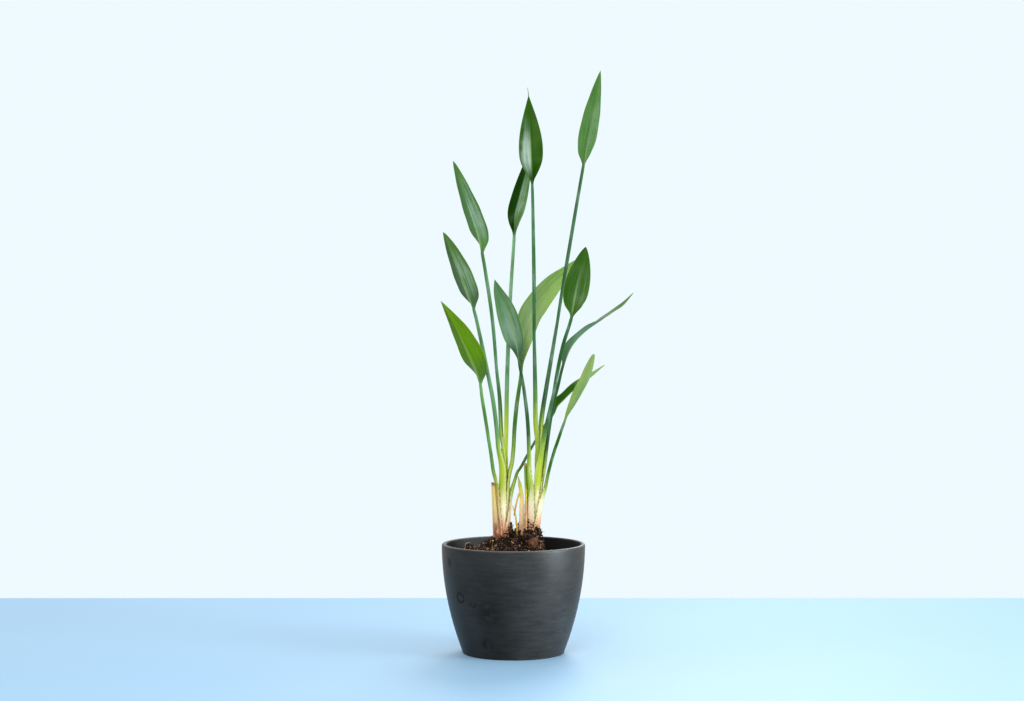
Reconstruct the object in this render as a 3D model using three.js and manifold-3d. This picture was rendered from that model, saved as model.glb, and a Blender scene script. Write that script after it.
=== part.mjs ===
// Potted bird of paradise: two young clumps, twelve leaves in all, in a round planter.
// Millimetres, +Z up, origin at the middle of the pot's foot, front towards -Y.

import * as THREE from 'three';
import { mergeVertices } from 'three/addons/utils/BufferGeometryUtils.js';
import Module from 'manifold-3d';

const wasm = await Module();
wasm.setup();

// ---- Driving dimensions ----

// Pot
const RIM_RADIUS = 100;
const FOOT_RADIUS = 70.3;
const POT_HEIGHT = 152.5;
const POT_WALL = 6.3;
const POT_FLOOR = 8;
const LIP_ROUND = 2.4;
const FOOT_ROUND = 1.2;
const CORNER_ROUND = 6;
const POT_SIDES = 48;
const POT_STEPS = 7;

// Soil
const SEAT_GAP = 0.3; // left between two pieces that rest on each other
const SOIL_LEVEL = 127;
const SOIL_EDGE_DROP = 4; // how far the soil's shoulder at the wall is below its level
const SOIL_RINGS = [6, 12, 18, 24, 31, 39, 48, 59, 71, 82];
const HOLE_SIDES = 24;
const HOLE_SPACE = 1.3; // radial space round a clump in its hole
const HOLE_TOP = 215;

// Heaps of soil: [x, y, height above the level, radius, steepness]
const HEAPS = [
  [-15, 2, 38, 38, 2.2],
  [-62, 6, 19, 14, 2.5],
  [-38, -22, 22, 17, 2.6],
  [-4, 3, 52, 5, 4],
  [5, -1, 42, 13, 4],
  [13, 2, 58, 8, 6],
  [26, -2, 51, 16.5, 6],
  [31, -13, 34, 13, 4],
];

// Sheaths and stalks
const SHEATH_LAYERS = 6.2; // a clump's radius divided by the pitch of its sheath layers
const SHEATH_GAP = 0.55;
const SHEATH_THINNING = 0.5; // the share of its thickness that a sheath loses at its margin
const CORE_LAYER = 5; // the innermost leaf is a plain stalk all the way down
const STALK_GROOVE = 0.45;
const STALK_WRAP = 100;
const OPENING_START = 15; // height above a clump's foot where its sheaths start to unwrap

// Blades
const BLADE_EDGE = 0.8;
const BLADE_MIDDLE = 1.8;
const MIDRIB = 1.3;
const NECK_FOLD = 62;
const TIP_HALF = 0.6;

// Faces across and along a leaf
const LEAF_COLUMNS = 8;
const REMAINS_COLUMNS = 4;
const SHEATH_STATIONS = 7;
const STALK_STATIONS = 6;
const BLADE_STATIONS = 12;

// A clump: the height of its foot, its middle line [x, y, z] and its [outer radius, z]
const CLUMP_LEFT = {
  foot: 150.3,
  line: [[-15.5, 2, 150], [-11.8, 3, 225], [-10, 4.5, 300]],
  radius: [[9.5, 150], [12, 205], [13.2, 250]],
};
const CLUMP_RIGHT = {
  foot: 160.3,
  line: [[26.8, -3, 160], [32.8, -3, 238], [31.5, -4, 318]],
  radius: [[9.6, 160], [11.6, 210], [12.8, 250]],
};

// A leaf:
// layer        its place in the clump's sheaths, from the outside in
// keel         the direction in plan that its sheath's back faces, degrees from +X
// opens, free  the heights where its sheath starts to leave the clump and has left it
// wrap         how far the sheath reaches round each way, at the foot and where it opens
// stalkRadius  low and at the blade
// stalk, blade the points of the free stalk, and of the blade from its neck to its tip
// half         the blade's half width, laid flat
// swell, point where it is widest (less is nearer the neck) and how slender its ends are
// fold, arch   how far its halves fold up along the midrib and curve back at the margins
// faces        the direction in plan that its underside faces, at the neck and at the tip
const LEAVES = [
  {
    name: 'leaf_left_low', colour: 0x76a52c, clump: CLUMP_LEFT, layer: 0, keel: 188,
    opens: 216, free: 258, wrap: [118, 88], stalkRadius: [4.2, 2],
    stalk: [[-30, -4, 272], [-34, -7, 297.3], [-39, -10, 328], [-44.2, -14, 360]],
    blade: [[-45.7, -16, 373], [-50.5, -18, 388], [-62.8, -23, 417], [-79.2, -28, 453],
      [-100.2, -34, 491]],
    half: 22, swell: 0.62, point: 1.08, fold: 33, arch: 0.12, faces: [232, 240],
  },
  {
    name: 'leaf_right_crossing', colour: 0x4f8a2c, clump: CLUMP_LEFT, layer: 1, keel: 372,
    opens: 206, free: 246, wrap: [112, 72], stalkRadius: [3.3, 1.9],
    stalk: [[4.5, 6, 250], [10.6, 9.5, 259.5], [19, 14.5, 275], [30.3, 19.5, 294], [44.4, 24, 316.4]],
    blade: [[56, 28, 332], [61.3, 28.5, 343], [69.8, 29, 351.5], [81, 30, 362.5], [94.5, 32, 373.7],
      [107.9, 35, 382.7], [128.8, 40, 400.4]],
    half: 10, swell: 0.62, point: 0.8, fold: 34, arch: 0.1, faces: [354, 364],
  },
  {
    name: 'leaf_left_mid', colour: 0x4b7b45, clump: CLUMP_LEFT, layer: 2, keel: 196,
    opens: 248, free: 290, wrap: [106, 88], stalkRadius: [4.6, 2.1],
    stalk: [[-21.6, -1.5, 297], [-24.4, -0.5, 325], [-28.7, 1, 354.7], [-35.2, 3, 386.8],
      [-46.7, 6, 441.7]],
    blade: [[-55.5, 8.5, 478.5], [-62, 10, 493.5], [-70.5, 12, 514.3], [-81.7, 15, 543.6],
      [-98.5, 22, 587]],
    half: 19, swell: 0.64, point: 0.95, fold: 34, arch: 0.12, faces: [232, 238],
  },
  {
    name: 'leaf_bright_back', colour: 0x7fb04a, clump: CLUMP_LEFT, layer: 3, keel: 15,
    opens: 234, free: 268, wrap: [100, 78], stalkRadius: [4.3, 2.4],
    stalk: [[-0.6, 8.5, 282], [1.4, 10.5, 312], [4.8, 13, 345]],
    blade: [[10.6, 16, 388], [11.7, 18, 415], [14.8, 21, 440], [23.3, 26, 471], [32.2, 30, 485],
      [42.5, 34, 499], [57.2, 40, 516], [74.3, 46, 531.5], [94.3, 54, 551.4]],
    half: 16.5, swell: 0.98, point: 0.8, fold: 10, arch: 0.1, faces: [84, 100],
  },
  {
    name: 'leaf_left_high', colour: 0x4f8248, clump: CLUMP_LEFT, layer: 4, keel: 160,
    opens: 266, free: 304, wrap: [90, 112], stalkRadius: [3.9, 2.2],
    stalk: [[-17, 8.5, 313], [-18.9, 10, 354.6], [-22.1, 11, 386.7], [-29.3, 12, 464],
      [-38.3, 13, 525.4]],
    blade: [[-43.9, 13, 557.6], [-48.8, 13.5, 578.5], [-57.9, 13.5, 606.4], [-69.7, 10, 641],
      [-83.8, 2, 685]],
    half: 17, swell: 0.56, point: 0.98, fold: 31, arch: 0.12, faces: [234, 240],
  },
  {
    name: 'leaf_centre_back', colour: 0x48743f, clump: CLUMP_LEFT, layer: 5, keel: 90,
    opens: 286, free: 320, wrap: [100, 100], stalkRadius: [3.9, 2.2],
    stalk: [[-10, 4.5, 304], [-9.4, 9, 354.6], [-8, 13, 408], [-4.5, 18, 492]],
    blade: [[1.1, 22, 581.6], [2, 25, 608], [8, 28, 634], [17.6, 32, 673], [27, 37, 711]],
    half: 13, swell: 0.6, point: 0.85, fold: 26, arch: 0.12, faces: [86, 92],
  },
  {
    name: 'leaf_centre_front', colour: 0x55805c, clump: CLUMP_RIGHT, layer: 0, keel: 205,
    opens: 220, free: 262, wrap: [116, 86], stalkRadius: [4, 1.9],
    stalk: [[21.8, -10.5, 278], [19.6, -14, 323.8], [14.6, -19, 366.5], [11.4, -22, 386]],
    blade: [[8.1, -24, 403.5], [4.5, -26, 426], [-1.2, -27, 443.7], [-6.1, -28.5, 461.6],
      [-13.7, -30, 485], [-21.2, -32, 504.3], [-25.9, -35, 520]],
    half: 15.6, swell: 0.9, point: 0.85, fold: 20, arch: 0.12, faces: [258, 264],
  },
  {
    name: 'leaf_right_low', colour: 0x86b84e, clump: CLUMP_RIGHT, layer: 1, keel: 346,
    opens: 200, free: 234, wrap: [110, 70], stalkRadius: [3.8, 1.8],
    stalk: [[47.8, -7, 250], [56.4, -10, 281], [61.2, -12, 295]],
    blade: [[70.4, -15, 321.4], [79.6, -16, 342.3], [90, -18, 364.5], [99.9, -20, 384],
      [111.4, -24, 417.6]],
    half: 8.5, swell: 1.9, point: 0.5, fold: 46, arch: 0.1, faces: [330, 300],
  },
  {
    name: 'leaf_right_narrow', colour: 0x3f7446, clump: CLUMP_RIGHT, layer: 2, keel: 384,
    opens: 224, free: 260, wrap: [104, 76], stalkRadius: [3.8, 2],
    stalk: [[44.2, 4, 270], [48.1, 5.5, 301.5], [55.1, 7, 344], [62.5, 8, 373]],
    blade: [[69.5, 9, 401], [81.2, 11, 428], [98.7, 15, 447.2], [122.5, 19, 464],
      [152.9, 26, 485], [168.7, 31, 502]],
    half: 12.5, swell: 0.55, point: 0.8, fold: 20, arch: 0.12, faces: [346, 376],
  },
  {
    name: 'leaf_right_round', colour: 0x37702f, clump: CLUMP_RIGHT, layer: 3, keel: -42,
    opens: 248, free: 286, wrap: [96, 90], stalkRadius: [4, 2.2],
    stalk: [[41.4, -10.5, 298], [47.3, -13, 324], [55.6, -19, 366.4], [59.8, -24, 388],
      [68.2, -34, 428.5]],
    blade: [[79.9, -44, 469], [83.6, -36, 490.5], [88.5, -22, 514], [101.1, 16, 566]],
    half: 18.3, swell: 0.7, point: 0.72, fold: 16, arch: 0.15, faces: [84, 78],
  },
  {
    name: 'leaf_right_top', colour: 0x4d8a45, clump: CLUMP_RIGHT, layer: 4, keel: 392,
    opens: 270, free: 306, wrap: [88, 112], stalkRadius: [4, 2],
    stalk: [[38.5, 2, 320.6], [45.1, 3, 365.6], [52.1, 4.5, 408.3], [65.6, 6, 492],
      [78.9, 7, 570], [89.3, 8, 631]],
    blade: [[97.8, 8, 680], [101.1, 7, 698], [107.6, 4, 732], [120.4, -14, 809]],
    half: 15.5, swell: 0.66, point: 0.85, fold: 26, arch: 0.12, faces: [296, 290],
  },
  {
    name: 'leaf_centre_top', colour: 0x2f6a24, clump: CLUMP_RIGHT, layer: 5, keel: 215,
    opens: 288, free: 322, wrap: [100, 100], stalkRadius: [4, 2],
    stalk: [[30.8, -5, 324], [30.4, -8, 366], [29.8, -9, 408.6], [28.2, -12, 533.5]],
    blade: [[26, -14, 651], [24.7, -13.5, 680], [23.6, -8, 715], [21, 6, 777]],
    half: 17.4, swell: 0.72, point: 1.0, fold: 16, arch: 0.12, faces: [92, 90],
  },
];

// A cut sheath outside a clump's own: its thickness, its reach round each way and the
// distance its inside stands off the outer sheath, each at the foot and at the cut.
const CUT_SHEATHS = [
  {
    name: 'old_sheath_left', colour: 0xb08d5c, clump: CLUMP_LEFT, keel: 187, cut: 237.5,
    thickness: [2.6, 3.2], wrap: [74, 34], stand: [0.5, 3.4],
  },
  {
    name: 'cut_stub_right', colour: 0x6f8f3a, clump: CLUMP_RIGHT, keel: 172, cut: 265,
    thickness: [1.6, 5.4], wrap: [50, 15], stand: [0.5, 0.5],
  },
];
const CUT_STATIONS = 8;

// Dry strips and sheath: [x, y, z] from the foot up, with half widths foot and top
const DRY_SHEATH = {
  line: [[11.4, -6, 164.3], [11.6, -6, 192], [11.4, -5, 215], [9.4, -3, 231], [6.6, 0.5, 246]],
  half: [2.9, 1.1],
  facing: 258,
};
const DRY_STRIP_LONG = {
  line: [[6, -7, 164.3], [4.6, -7, 178], [2, -7, 196], [-2, -7, 207]],
  half: [1.8, 1],
  facing: 270,
};
const DRY_STRIP_CROSSING = {
  line: [[1.2, -7, 192], [2.6, -7, 202], [5.4, -7, 214], [8.4, -7, 225]],
  half: [1.3, 1.5],
  facing: 270,
};
const DRY_THICKNESS = 1;
const DRY_SPACE = 0.7; // radial space round a dry piece in its hole
const DRY_STATIONS = 8;

// ---- Helpers ----

const UP = new THREE.Vector3(0, 0, 1);
const vector = ([x, y, z]) => new THREE.Vector3(x, y, z);
const radians = THREE.MathUtils.degToRad;
const mix = THREE.MathUtils.lerp;
const smoothstep = THREE.MathUtils.smoothstep;

function planDirection(degrees) {
  return new THREE.Vector3(Math.cos(radians(degrees)), Math.sin(radians(degrees)), 0);
}

function spread(from, to, count) {
  return Array.from({ length: count }, (_, i) => mix(from, to, i / count));
}

// A closed body from a geometry: shared corners merged, empty faces dropped, faces outward.
function closedBody(geometry) {
  const bare = geometry.clone();
  bare.deleteAttribute('normal');
  bare.deleteAttribute('uv');
  const merged = mergeVertices(bare, 1e-3);
  const corners = [0, 1, 2].map(() => new THREE.Vector3());
  const faces = [];
  let volume = 0;
  for (let i = 0; i < merged.index.count; i += 3) {
    const face = [0, 1, 2].map((k) => merged.index.getX(i + k));
    if (new Set(face).size < 3) continue;
    face.forEach((v, k) => corners[k].fromBufferAttribute(merged.attributes.position, v));
    volume += corners[0].dot(corners[1].cross(corners[2]));
    faces.push(face);
  }
  if (volume < 0) faces.forEach((face) => face.reverse());
  merged.setIndex(faces.flat());
  return merged;
}

function toManifold(geometry) {
  const body = closedBody(geometry);
  const vertProperties = new Float32Array(body.attributes.position.array);
  const triVerts = new Uint32Array(body.index.array);
  return new wasm.Manifold(new wasm.Mesh({ numProp: 3, vertProperties, triVerts }));
}

function fromManifold(manifold) {
  const { vertProperties, triVerts } = manifold.getMesh();
  const geometry = new THREE.BufferGeometry();
  geometry.setAttribute('position', new THREE.BufferAttribute(vertProperties, 3));
  geometry.setIndex(new THREE.BufferAttribute(triVerts, 1));
  return geometry;
}

function geometryOf(points, faces) {
  const geometry = new THREE.BufferGeometry().setFromPoints(points);
  geometry.setIndex(faces.flat());
  return geometry;
}

function namedMesh(name, geometry, colour, roughness) {
  const material = new THREE.MeshStandardMaterial({ color: colour, roughness, metalness: 0 });
  const mesh = new THREE.Mesh(geometry, material);
  mesh.name = name;
  return mesh;
}

// ---- Pot ----

// The wall curves in towards the foot as a parabola.
function potRadius(z) {
  return RIM_RADIUS - (RIM_RADIUS - FOOT_RADIUS) * (1 - z / POT_HEIGHT) ** 2;
}

function arcPoints(centreX, centreY, radius, from, to, steps) {
  const points = [];
  for (let i = 0; i <= steps; i += 1) {
    const angle = radians(mix(from, to, i / steps));
    points.push(new THREE.Vector2(
      centreX + radius * Math.cos(angle),
      centreY + radius * Math.sin(angle),
    ));
  }
  return points;
}

// Heights at which the pot's inside is faceted; the soil follows the same facets.
function insideHeights() {
  const lipZ = POT_HEIGHT - LIP_ROUND;
  return [...spread(POT_FLOOR + CORNER_ROUND, lipZ, POT_STEPS), lipZ];
}

function makePot() {
  const lipZ = POT_HEIGHT - LIP_ROUND;
  const outside = [...spread(FOOT_ROUND, lipZ, POT_STEPS), lipZ]
    .map((z) => new THREE.Vector2(potRadius(z), z));
  const inside = insideHeights().reverse()
    .map((z) => new THREE.Vector2(potRadius(z) - POT_WALL, z));
  const floorRadius = inside.at(-1).x - CORNER_ROUND;
  const corner = CORNER_ROUND * (1 - Math.SQRT1_2);
  const outerLip = potRadius(lipZ) - LIP_ROUND;
  const innerLip = potRadius(lipZ) - POT_WALL + LIP_ROUND;
  const profile = [
    new THREE.Vector2(0, 0),
    new THREE.Vector2(potRadius(0) - FOOT_ROUND, 0),
    ...outside,
    ...arcPoints(outerLip, lipZ, LIP_ROUND, 0, 90, 3).slice(1),
    ...arcPoints(innerLip, lipZ, LIP_ROUND, 90, 180, 3).slice(0, -1),
    ...inside,
    new THREE.Vector2(floorRadius + CORNER_ROUND - corner, POT_FLOOR + corner),
    new THREE.Vector2(floorRadius, POT_FLOOR),
    new THREE.Vector2(0, POT_FLOOR),
  ];
  const turned = new THREE.LatheGeometry(profile, POT_SIDES).rotateX(Math.PI / 2);
  return namedMesh('pot', closedBody(turned), 0x33383c, 0.7);
}

// ---- Clumps ----

// A smooth curve through three rows, each with its height last.
function through(rows, column, z) {
  let value = 0;
  rows.forEach((row, i) => {
    let share = 1;
    rows.forEach((other, j) => {
      if (i !== j) share *= (z - other.at(-1)) / (row.at(-1) - other.at(-1));
    });
    value += row[column] * share;
  });
  return value;
}

function clumpPoint(clump, z) {
  return new THREE.Vector3(through(clump.line, 0, z), through(clump.line, 1, z), z);
}

function clumpRadius(clump, z) {
  const top = clump.radius.at(-1);
  return z < top[1] ? through(clump.radius, 0, z) : top[0];
}

// ---- Soil ----

function soilHeight(x, y) {
  const heights = HEAPS.map(([centreX, centreY, height, radius, steepness]) => (
    height * Math.exp(-((Math.hypot(x - centreX, y - centreY) / radius) ** steepness))
  ));
  const crumbs = 1.4 * Math.sin(0.31 * x + 1.1) * Math.cos(0.27 * y - 0.4)
    + 0.9 * Math.sin(0.53 * y + 0.2 * x);
  return SOIL_LEVEL + Math.max(0, ...heights) + crumbs;
}

function soilRing(radius, heightAt) {
  return spread(0, 2 * Math.PI, POT_SIDES).map((angle) => {
    const x = radius * Math.cos(angle);
    const y = radius * Math.sin(angle);
    return new THREE.Vector3(x, y, heightAt(x, y));
  });
}

// A stack of equal rings closed by a point at each end.
function ringStack(first, rings, last) {
  const points = [first, ...rings.flat(), last];
  const sides = rings[0].length;
  const top = rings.length - 1;
  const faces = [];
  const corner = (ring, side) => 1 + ring * sides + (side % sides);
  for (let side = 0; side < sides; side += 1) {
    faces.push([0, corner(0, side + 1), corner(0, side)]);
    for (let ring = 0; ring < top; ring += 1) {
      const [a, b] = [corner(ring, side), corner(ring, side + 1)];
      const [c, d] = [corner(ring + 1, side + 1), corner(ring + 1, side)];
      faces.push([a, b, c], [a, c, d]);
    }
    faces.push([points.length - 1, corner(top, side), corner(top, side + 1)]);
  }
  return geometryOf(points, faces);
}

function uprightHole({ x, y, radius, bottom }) {
  return new THREE.CylinderGeometry(radius, radius, HOLE_TOP - bottom, HOLE_SIDES)
    .rotateX(Math.PI / 2)
    .translate(x, y, (bottom + HOLE_TOP) / 2);
}

// A clump's hole holds its sheaths and its cut sheath.
function clumpHole({ clump, thickness, stand }) {
  const bottom = clump.foot - SEAT_GAP;
  const { x, y } = clumpPoint(clump, bottom);
  const radius = clumpRadius(clump, bottom) + stand[0] + thickness[0] + HOLE_SPACE;
  return { x, y, radius, bottom };
}

function dryHole({ line, half }) {
  const [x, y, foot] = line[0];
  return { x, y, radius: half[0] + DRY_SPACE, bottom: foot - SEAT_GAP };
}

function makeSoil() {
  const shoulder = SOIL_LEVEL - SOIL_EDGE_DROP;
  const levels = [...insideHeights().filter((z) => z < shoulder - SOIL_EDGE_DROP), shoulder];
  const wallRadius = (z) => potRadius(z) - POT_WALL - SEAT_GAP;
  const floorZ = POT_FLOOR + SEAT_GAP;
  const rings = [
    soilRing(wallRadius(levels[0]) - CORNER_ROUND, () => floorZ),
    ...levels.map((z) => soilRing(wallRadius(z), () => z)),
    soilRing(wallRadius(shoulder) - 2 * SEAT_GAP, soilHeight),
    ...[...SOIL_RINGS].reverse().map((radius) => soilRing(radius, soilHeight)),
  ];
  const heap = ringStack(
    new THREE.Vector3(0, 0, floorZ),
    rings,
    new THREE.Vector3(0, 0, soilHeight(0, 0)),
  );
  const holes = [...CUT_SHEATHS.map(clumpHole), ...[DRY_SHEATH, DRY_STRIP_LONG].map(dryHole)];
  const dug = holes.reduce(
    (soil, hole) => soil.subtract(toManifold(uprightHole(hole))),
    toManifold(heap),
  );
  return namedMesh('soil', fromManifold(dug), 0x3a2a1f, 0.95);
}

// ---- Sections ----

// A section's point is a pair of places on its outer and its inner row, and each place is
// [outwards, across].

// Sheath: a shell round the clump's middle line, thinner towards its margins.
function sheathPair(t, outer, thickness, wrap) {
  const angle = t * wrap;
  const inner = outer - thickness * (1 - SHEATH_THINNING * t * t);
  const keel = outer - thickness / 2;
  return [outer, inner].map((r) => [r * Math.cos(angle) - keel, r * Math.sin(angle)]);
}

// Stalk: round outside, with a shallow groove inside.
function stalkPair(t, radius) {
  const edge = radians(STALK_WRAP);
  const angle = t * edge;
  const groove = radius * (Math.cos(edge) + STALK_GROOVE * (1 - t * t) - 0.35);
  return [
    [radius * Math.cos(angle), radius * Math.sin(angle)],
    [groove, radius * Math.sin(edge) * t],
  ];
}

// Blade: folded along its midrib, arched back at its margins, thick at the midrib.
function bladePair(column, half, fold, arch, rib) {
  const t = Math.sign(column) * Math.abs(column) ** 1.6;
  const across = half * t * Math.cos(fold);
  const middle = -half * Math.abs(t) * Math.sin(fold) + arch * half * t * t;
  const thickness = mix(BLADE_MIDDLE, BLADE_EDGE, Math.abs(t) ** 0.6);
  const ridge = column === 0 ? rib : 0;
  return [
    [middle + thickness / 2 + ridge, across],
    [middle - thickness / 2, across],
  ];
}

function mixPair(from, to, share) {
  return from.map((place, i) => place.map((value, k) => mix(value, to[i][k], share)));
}

// The section's two rows of points, placed in space.
function placeSection(centre, out, side, columns, pairAt) {
  const rows = [[], []];
  for (let column = 0; column <= columns; column += 1) {
    const pair = pairAt((2 * column) / columns - 1);
    pair.forEach(([outwards, across], row) => {
      const place = centre.clone().addScaledVector(out, outwards).addScaledVector(side, across);
      rows[row].push(place);
    });
  }
  return rows;
}

// A thin closed body from sections; both skins are split along the same diagonals.
function skin(sections) {
  const points = sections.flat(2);
  const width = sections[0][0].length;
  const last = width - 1;
  const top = sections.length - 1;
  const at = (section, row, column) => (section * 2 + row) * width + column;
  const faces = [];
  const quad = (a, b, c, d) => faces.push([a, b, c], [a, c, d]);
  for (let j = 0; j < top; j += 1) {
    for (let k = 0; k < last; k += 1) {
      quad(at(j, 0, k), at(j, 0, k + 1), at(j + 1, 0, k + 1), at(j + 1, 0, k));
      const [a, b] = [at(j, 1, k), at(j, 1, k + 1)];
      const [c, d] = [at(j + 1, 1, k + 1), at(j + 1, 1, k)];
      faces.push([a, c, b], [a, d, c]);
    }
    quad(at(j, 0, last), at(j, 1, last), at(j + 1, 1, last), at(j + 1, 0, last));
    quad(at(j, 1, 0), at(j, 0, 0), at(j + 1, 0, 0), at(j + 1, 1, 0));
  }
  for (let k = 0; k < last; k += 1) {
    quad(at(0, 0, k), at(0, 1, k), at(0, 1, k + 1), at(0, 0, k + 1));
    quad(at(top, 0, k), at(top, 0, k + 1), at(top, 1, k + 1), at(top, 1, k));
  }
  return closedBody(geometryOf(points, faces));
}

// ---- Leaves ----

function sheathSize(leaf, z) {
  const radius = clumpRadius(leaf.clump, z);
  const pitch = radius / SHEATH_LAYERS;
  return { outer: radius - leaf.layer * pitch, thickness: pitch - SHEATH_GAP };
}

// The middle of a sheath's keel at a height.
function keelPoint(leaf, z) {
  const { outer, thickness } = sheathSize(leaf, z);
  const reach = leaf.layer === CORE_LAYER ? 0 : outer - thickness / 2;
  return clumpPoint(leaf.clump, z).addScaledVector(planDirection(leaf.keel), reach);
}

// The leaf's middle line, with the shares of its length where its stalk and blade begin.
function leafPath(leaf) {
  const sheath = [leaf.clump.foot, mix(leaf.clump.foot, leaf.opens, 0.5), leaf.opens]
    .map((z) => keelPoint(leaf, z));
  const points = [...sheath, ...leaf.stalk.map(vector), ...leaf.blade.map(vector)];
  const curve = new THREE.CatmullRomCurve3(points, false, 'centripetal');
  const perPoint = 20;
  const lengths = curve.getLengths((points.length - 1) * perPoint);
  const shareAt = (index) => lengths[index * perPoint] / lengths.at(-1);
  return {
    curve,
    stalkAt: shareAt(sheath.length),
    bladeAt: shareAt(sheath.length + leaf.stalk.length),
  };
}

function leafStations({ stalkAt, bladeAt }) {
  return [
    ...spread(0, stalkAt, SHEATH_STATIONS),
    ...spread(stalkAt, bladeAt, STALK_STATIONS),
    ...spread(0, 1, BLADE_STATIONS).map((share) => mix(bladeAt, 1, share ** 1.3)),
    1,
  ];
}

// The stalk's radius; the innermost stalk of a clump is slimmer until it leaves the sheaths.
function stalkSize(leaf, share, outer, leaves) {
  const radius = mix(leaf.stalkRadius[0], leaf.stalkRadius[1], Math.min(1, share));
  return leaf.layer === CORE_LAYER ? mix(Math.min(radius, outer), radius, leaves) : radius;
}

function leafSection(leaf, path, share) {
  const point = path.curve.getPointAt(share);
  const leaves = smoothstep(point.z, leaf.opens, leaf.free);
  const held = leaf.layer === CORE_LAYER ? 0 : 1 - leaves;
  const centre = point.clone().lerp(keelPoint(leaf, point.z), held);
  const along = path.curve.getTangentAt(share).lerp(UP, held).normalize();

  const bladeShare = Math.max(0, (share - path.bladeAt) / (1 - path.bladeAt));
  const bladeFaces = mix(leaf.faces[0], leaf.faces[1], bladeShare);
  const turnedShare = smoothstep(share, path.stalkAt, path.bladeAt);
  const out = planDirection(mix(leaf.keel, bladeFaces, turnedShare));
  out.addScaledVector(along, -out.dot(along)).normalize();
  const side = new THREE.Vector3().crossVectors(along, out);

  const { outer, thickness } = sheathSize(leaf, point.z);
  const unwrapped = smoothstep(point.z, leaf.clump.foot + OPENING_START, leaf.opens);
  const wrap = radians(mix(leaf.wrap[0], leaf.wrap[1], unwrapped));
  const radius = stalkSize(leaf, share / path.bladeAt, outer, leaves);

  const swelling = Math.sin(Math.PI * bladeShare ** leaf.swell) ** leaf.point;
  const half = Math.max(TIP_HALF, Math.hypot(radius * (1 - bladeShare), leaf.half * swelling));
  const fold = radians(mix(NECK_FOLD, leaf.fold, smoothstep(bladeShare, 0, 0.3)));
  const flat = smoothstep(share, path.bladeAt - 0.01, mix(path.bladeAt, 1, 0.12));
  const rib = MIDRIB * (1 - bladeShare) ** 1.5;

  return placeSection(centre, out, side, LEAF_COLUMNS, (t) => {
    const stalk = stalkPair(t, radius);
    const low = held > 0 ? mixPair(stalk, sheathPair(t, outer, thickness, wrap), held) : stalk;
    return flat > 0 ? mixPair(low, bladePair(t, half, fold, leaf.arch, rib), flat) : low;
  });
}

function makeLeaf(leaf) {
  const path = leafPath(leaf);
  const sections = leafStations(path).map((share) => leafSection(leaf, path, share));
  return namedMesh(leaf.name, skin(sections), leaf.colour, 0.5);
}

// ---- Cut and dry remains ----

function makeCutSheath({ name, colour, clump, keel, cut, thickness, wrap, stand }) {
  const out = planDirection(keel);
  const side = new THREE.Vector3().crossVectors(UP, out);
  const heights = [...spread(clump.foot, cut, CUT_STATIONS), cut];
  const sections = heights.map((z) => {
    const share = (z - clump.foot) / (cut - clump.foot);
    const thick = mix(...thickness, share);
    const outer = clumpRadius(clump, z) + mix(...stand, share) + thick;
    const centre = clumpPoint(clump, z).addScaledVector(out, outer - thick / 2);
    return placeSection(centre, out, side, REMAINS_COLUMNS, (t) => (
      sheathPair(t, outer, thick, radians(mix(...wrap, share)))
    ));
  });
  return namedMesh(name, skin(sections), colour, 0.8);
}

function dryRibbon({ line, half, facing }) {
  const curve = new THREE.CatmullRomCurve3(line.map(vector), false, 'centripetal');
  const out = planDirection(facing);
  const sections = [...spread(0, 1, DRY_STATIONS), 1].map((share) => {
    const width = mix(...half, share);
    const side = new THREE.Vector3().crossVectors(curve.getTangentAt(share), out).normalize();
    return placeSection(curve.getPointAt(share), out, side, REMAINS_COLUMNS, (t) => {
      const bow = -0.25 * width * t * t;
      return [[bow + DRY_THICKNESS / 2, width * t], [bow - DRY_THICKNESS / 2, width * t]];
    });
  });
  return skin(sections);
}

function makeDryStrips() {
  const joined = toManifold(dryRibbon(DRY_STRIP_LONG)).add(toManifold(dryRibbon(DRY_STRIP_CROSSING)));
  return namedMesh('dry_strips', fromManifold(joined), 0xa98a2c, 0.8);
}

// ---- The whole plant ----

const group = new THREE.Group();
group.add(makePot());
group.add(makeSoil());
LEAVES.forEach((leaf) => group.add(makeLeaf(leaf)));
CUT_SHEATHS.forEach((sheath) => group.add(makeCutSheath(sheath)));
group.add(namedMesh('dry_sheath_right', dryRibbon(DRY_SHEATH), 0xc2a671, 0.8));
group.add(makeDryStrips());

export default group;
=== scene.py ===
"""Potted bird of paradise: two young clumps, twelve leaves in all, in a round planter.

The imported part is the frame. Each operator makes one piece, or a group of like pieces, in the
frame's own place, and the last one sets the stage. Metres, +Z up, front towards -Y.
"""

import math

import bmesh
import bpy
import numpy as np
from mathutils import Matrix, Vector, noise


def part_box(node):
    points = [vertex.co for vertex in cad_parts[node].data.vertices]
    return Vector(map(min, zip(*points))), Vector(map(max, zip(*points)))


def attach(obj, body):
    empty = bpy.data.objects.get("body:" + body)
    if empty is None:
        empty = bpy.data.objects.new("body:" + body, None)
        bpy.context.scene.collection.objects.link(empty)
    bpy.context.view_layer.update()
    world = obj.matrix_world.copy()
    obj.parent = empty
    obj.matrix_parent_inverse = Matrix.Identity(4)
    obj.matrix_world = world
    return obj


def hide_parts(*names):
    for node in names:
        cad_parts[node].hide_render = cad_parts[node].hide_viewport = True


bl_info = {
    "name": "Potted Bird of Paradise",
    "version": (1, 0, 0),
    "blender": (4, 5, 0),
    "location": "View3D > Sidebar > Plant",
    "description": "Builds a young bird of paradise in its planter, with a plain stage round it",
    "category": "Add Mesh",
}

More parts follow.
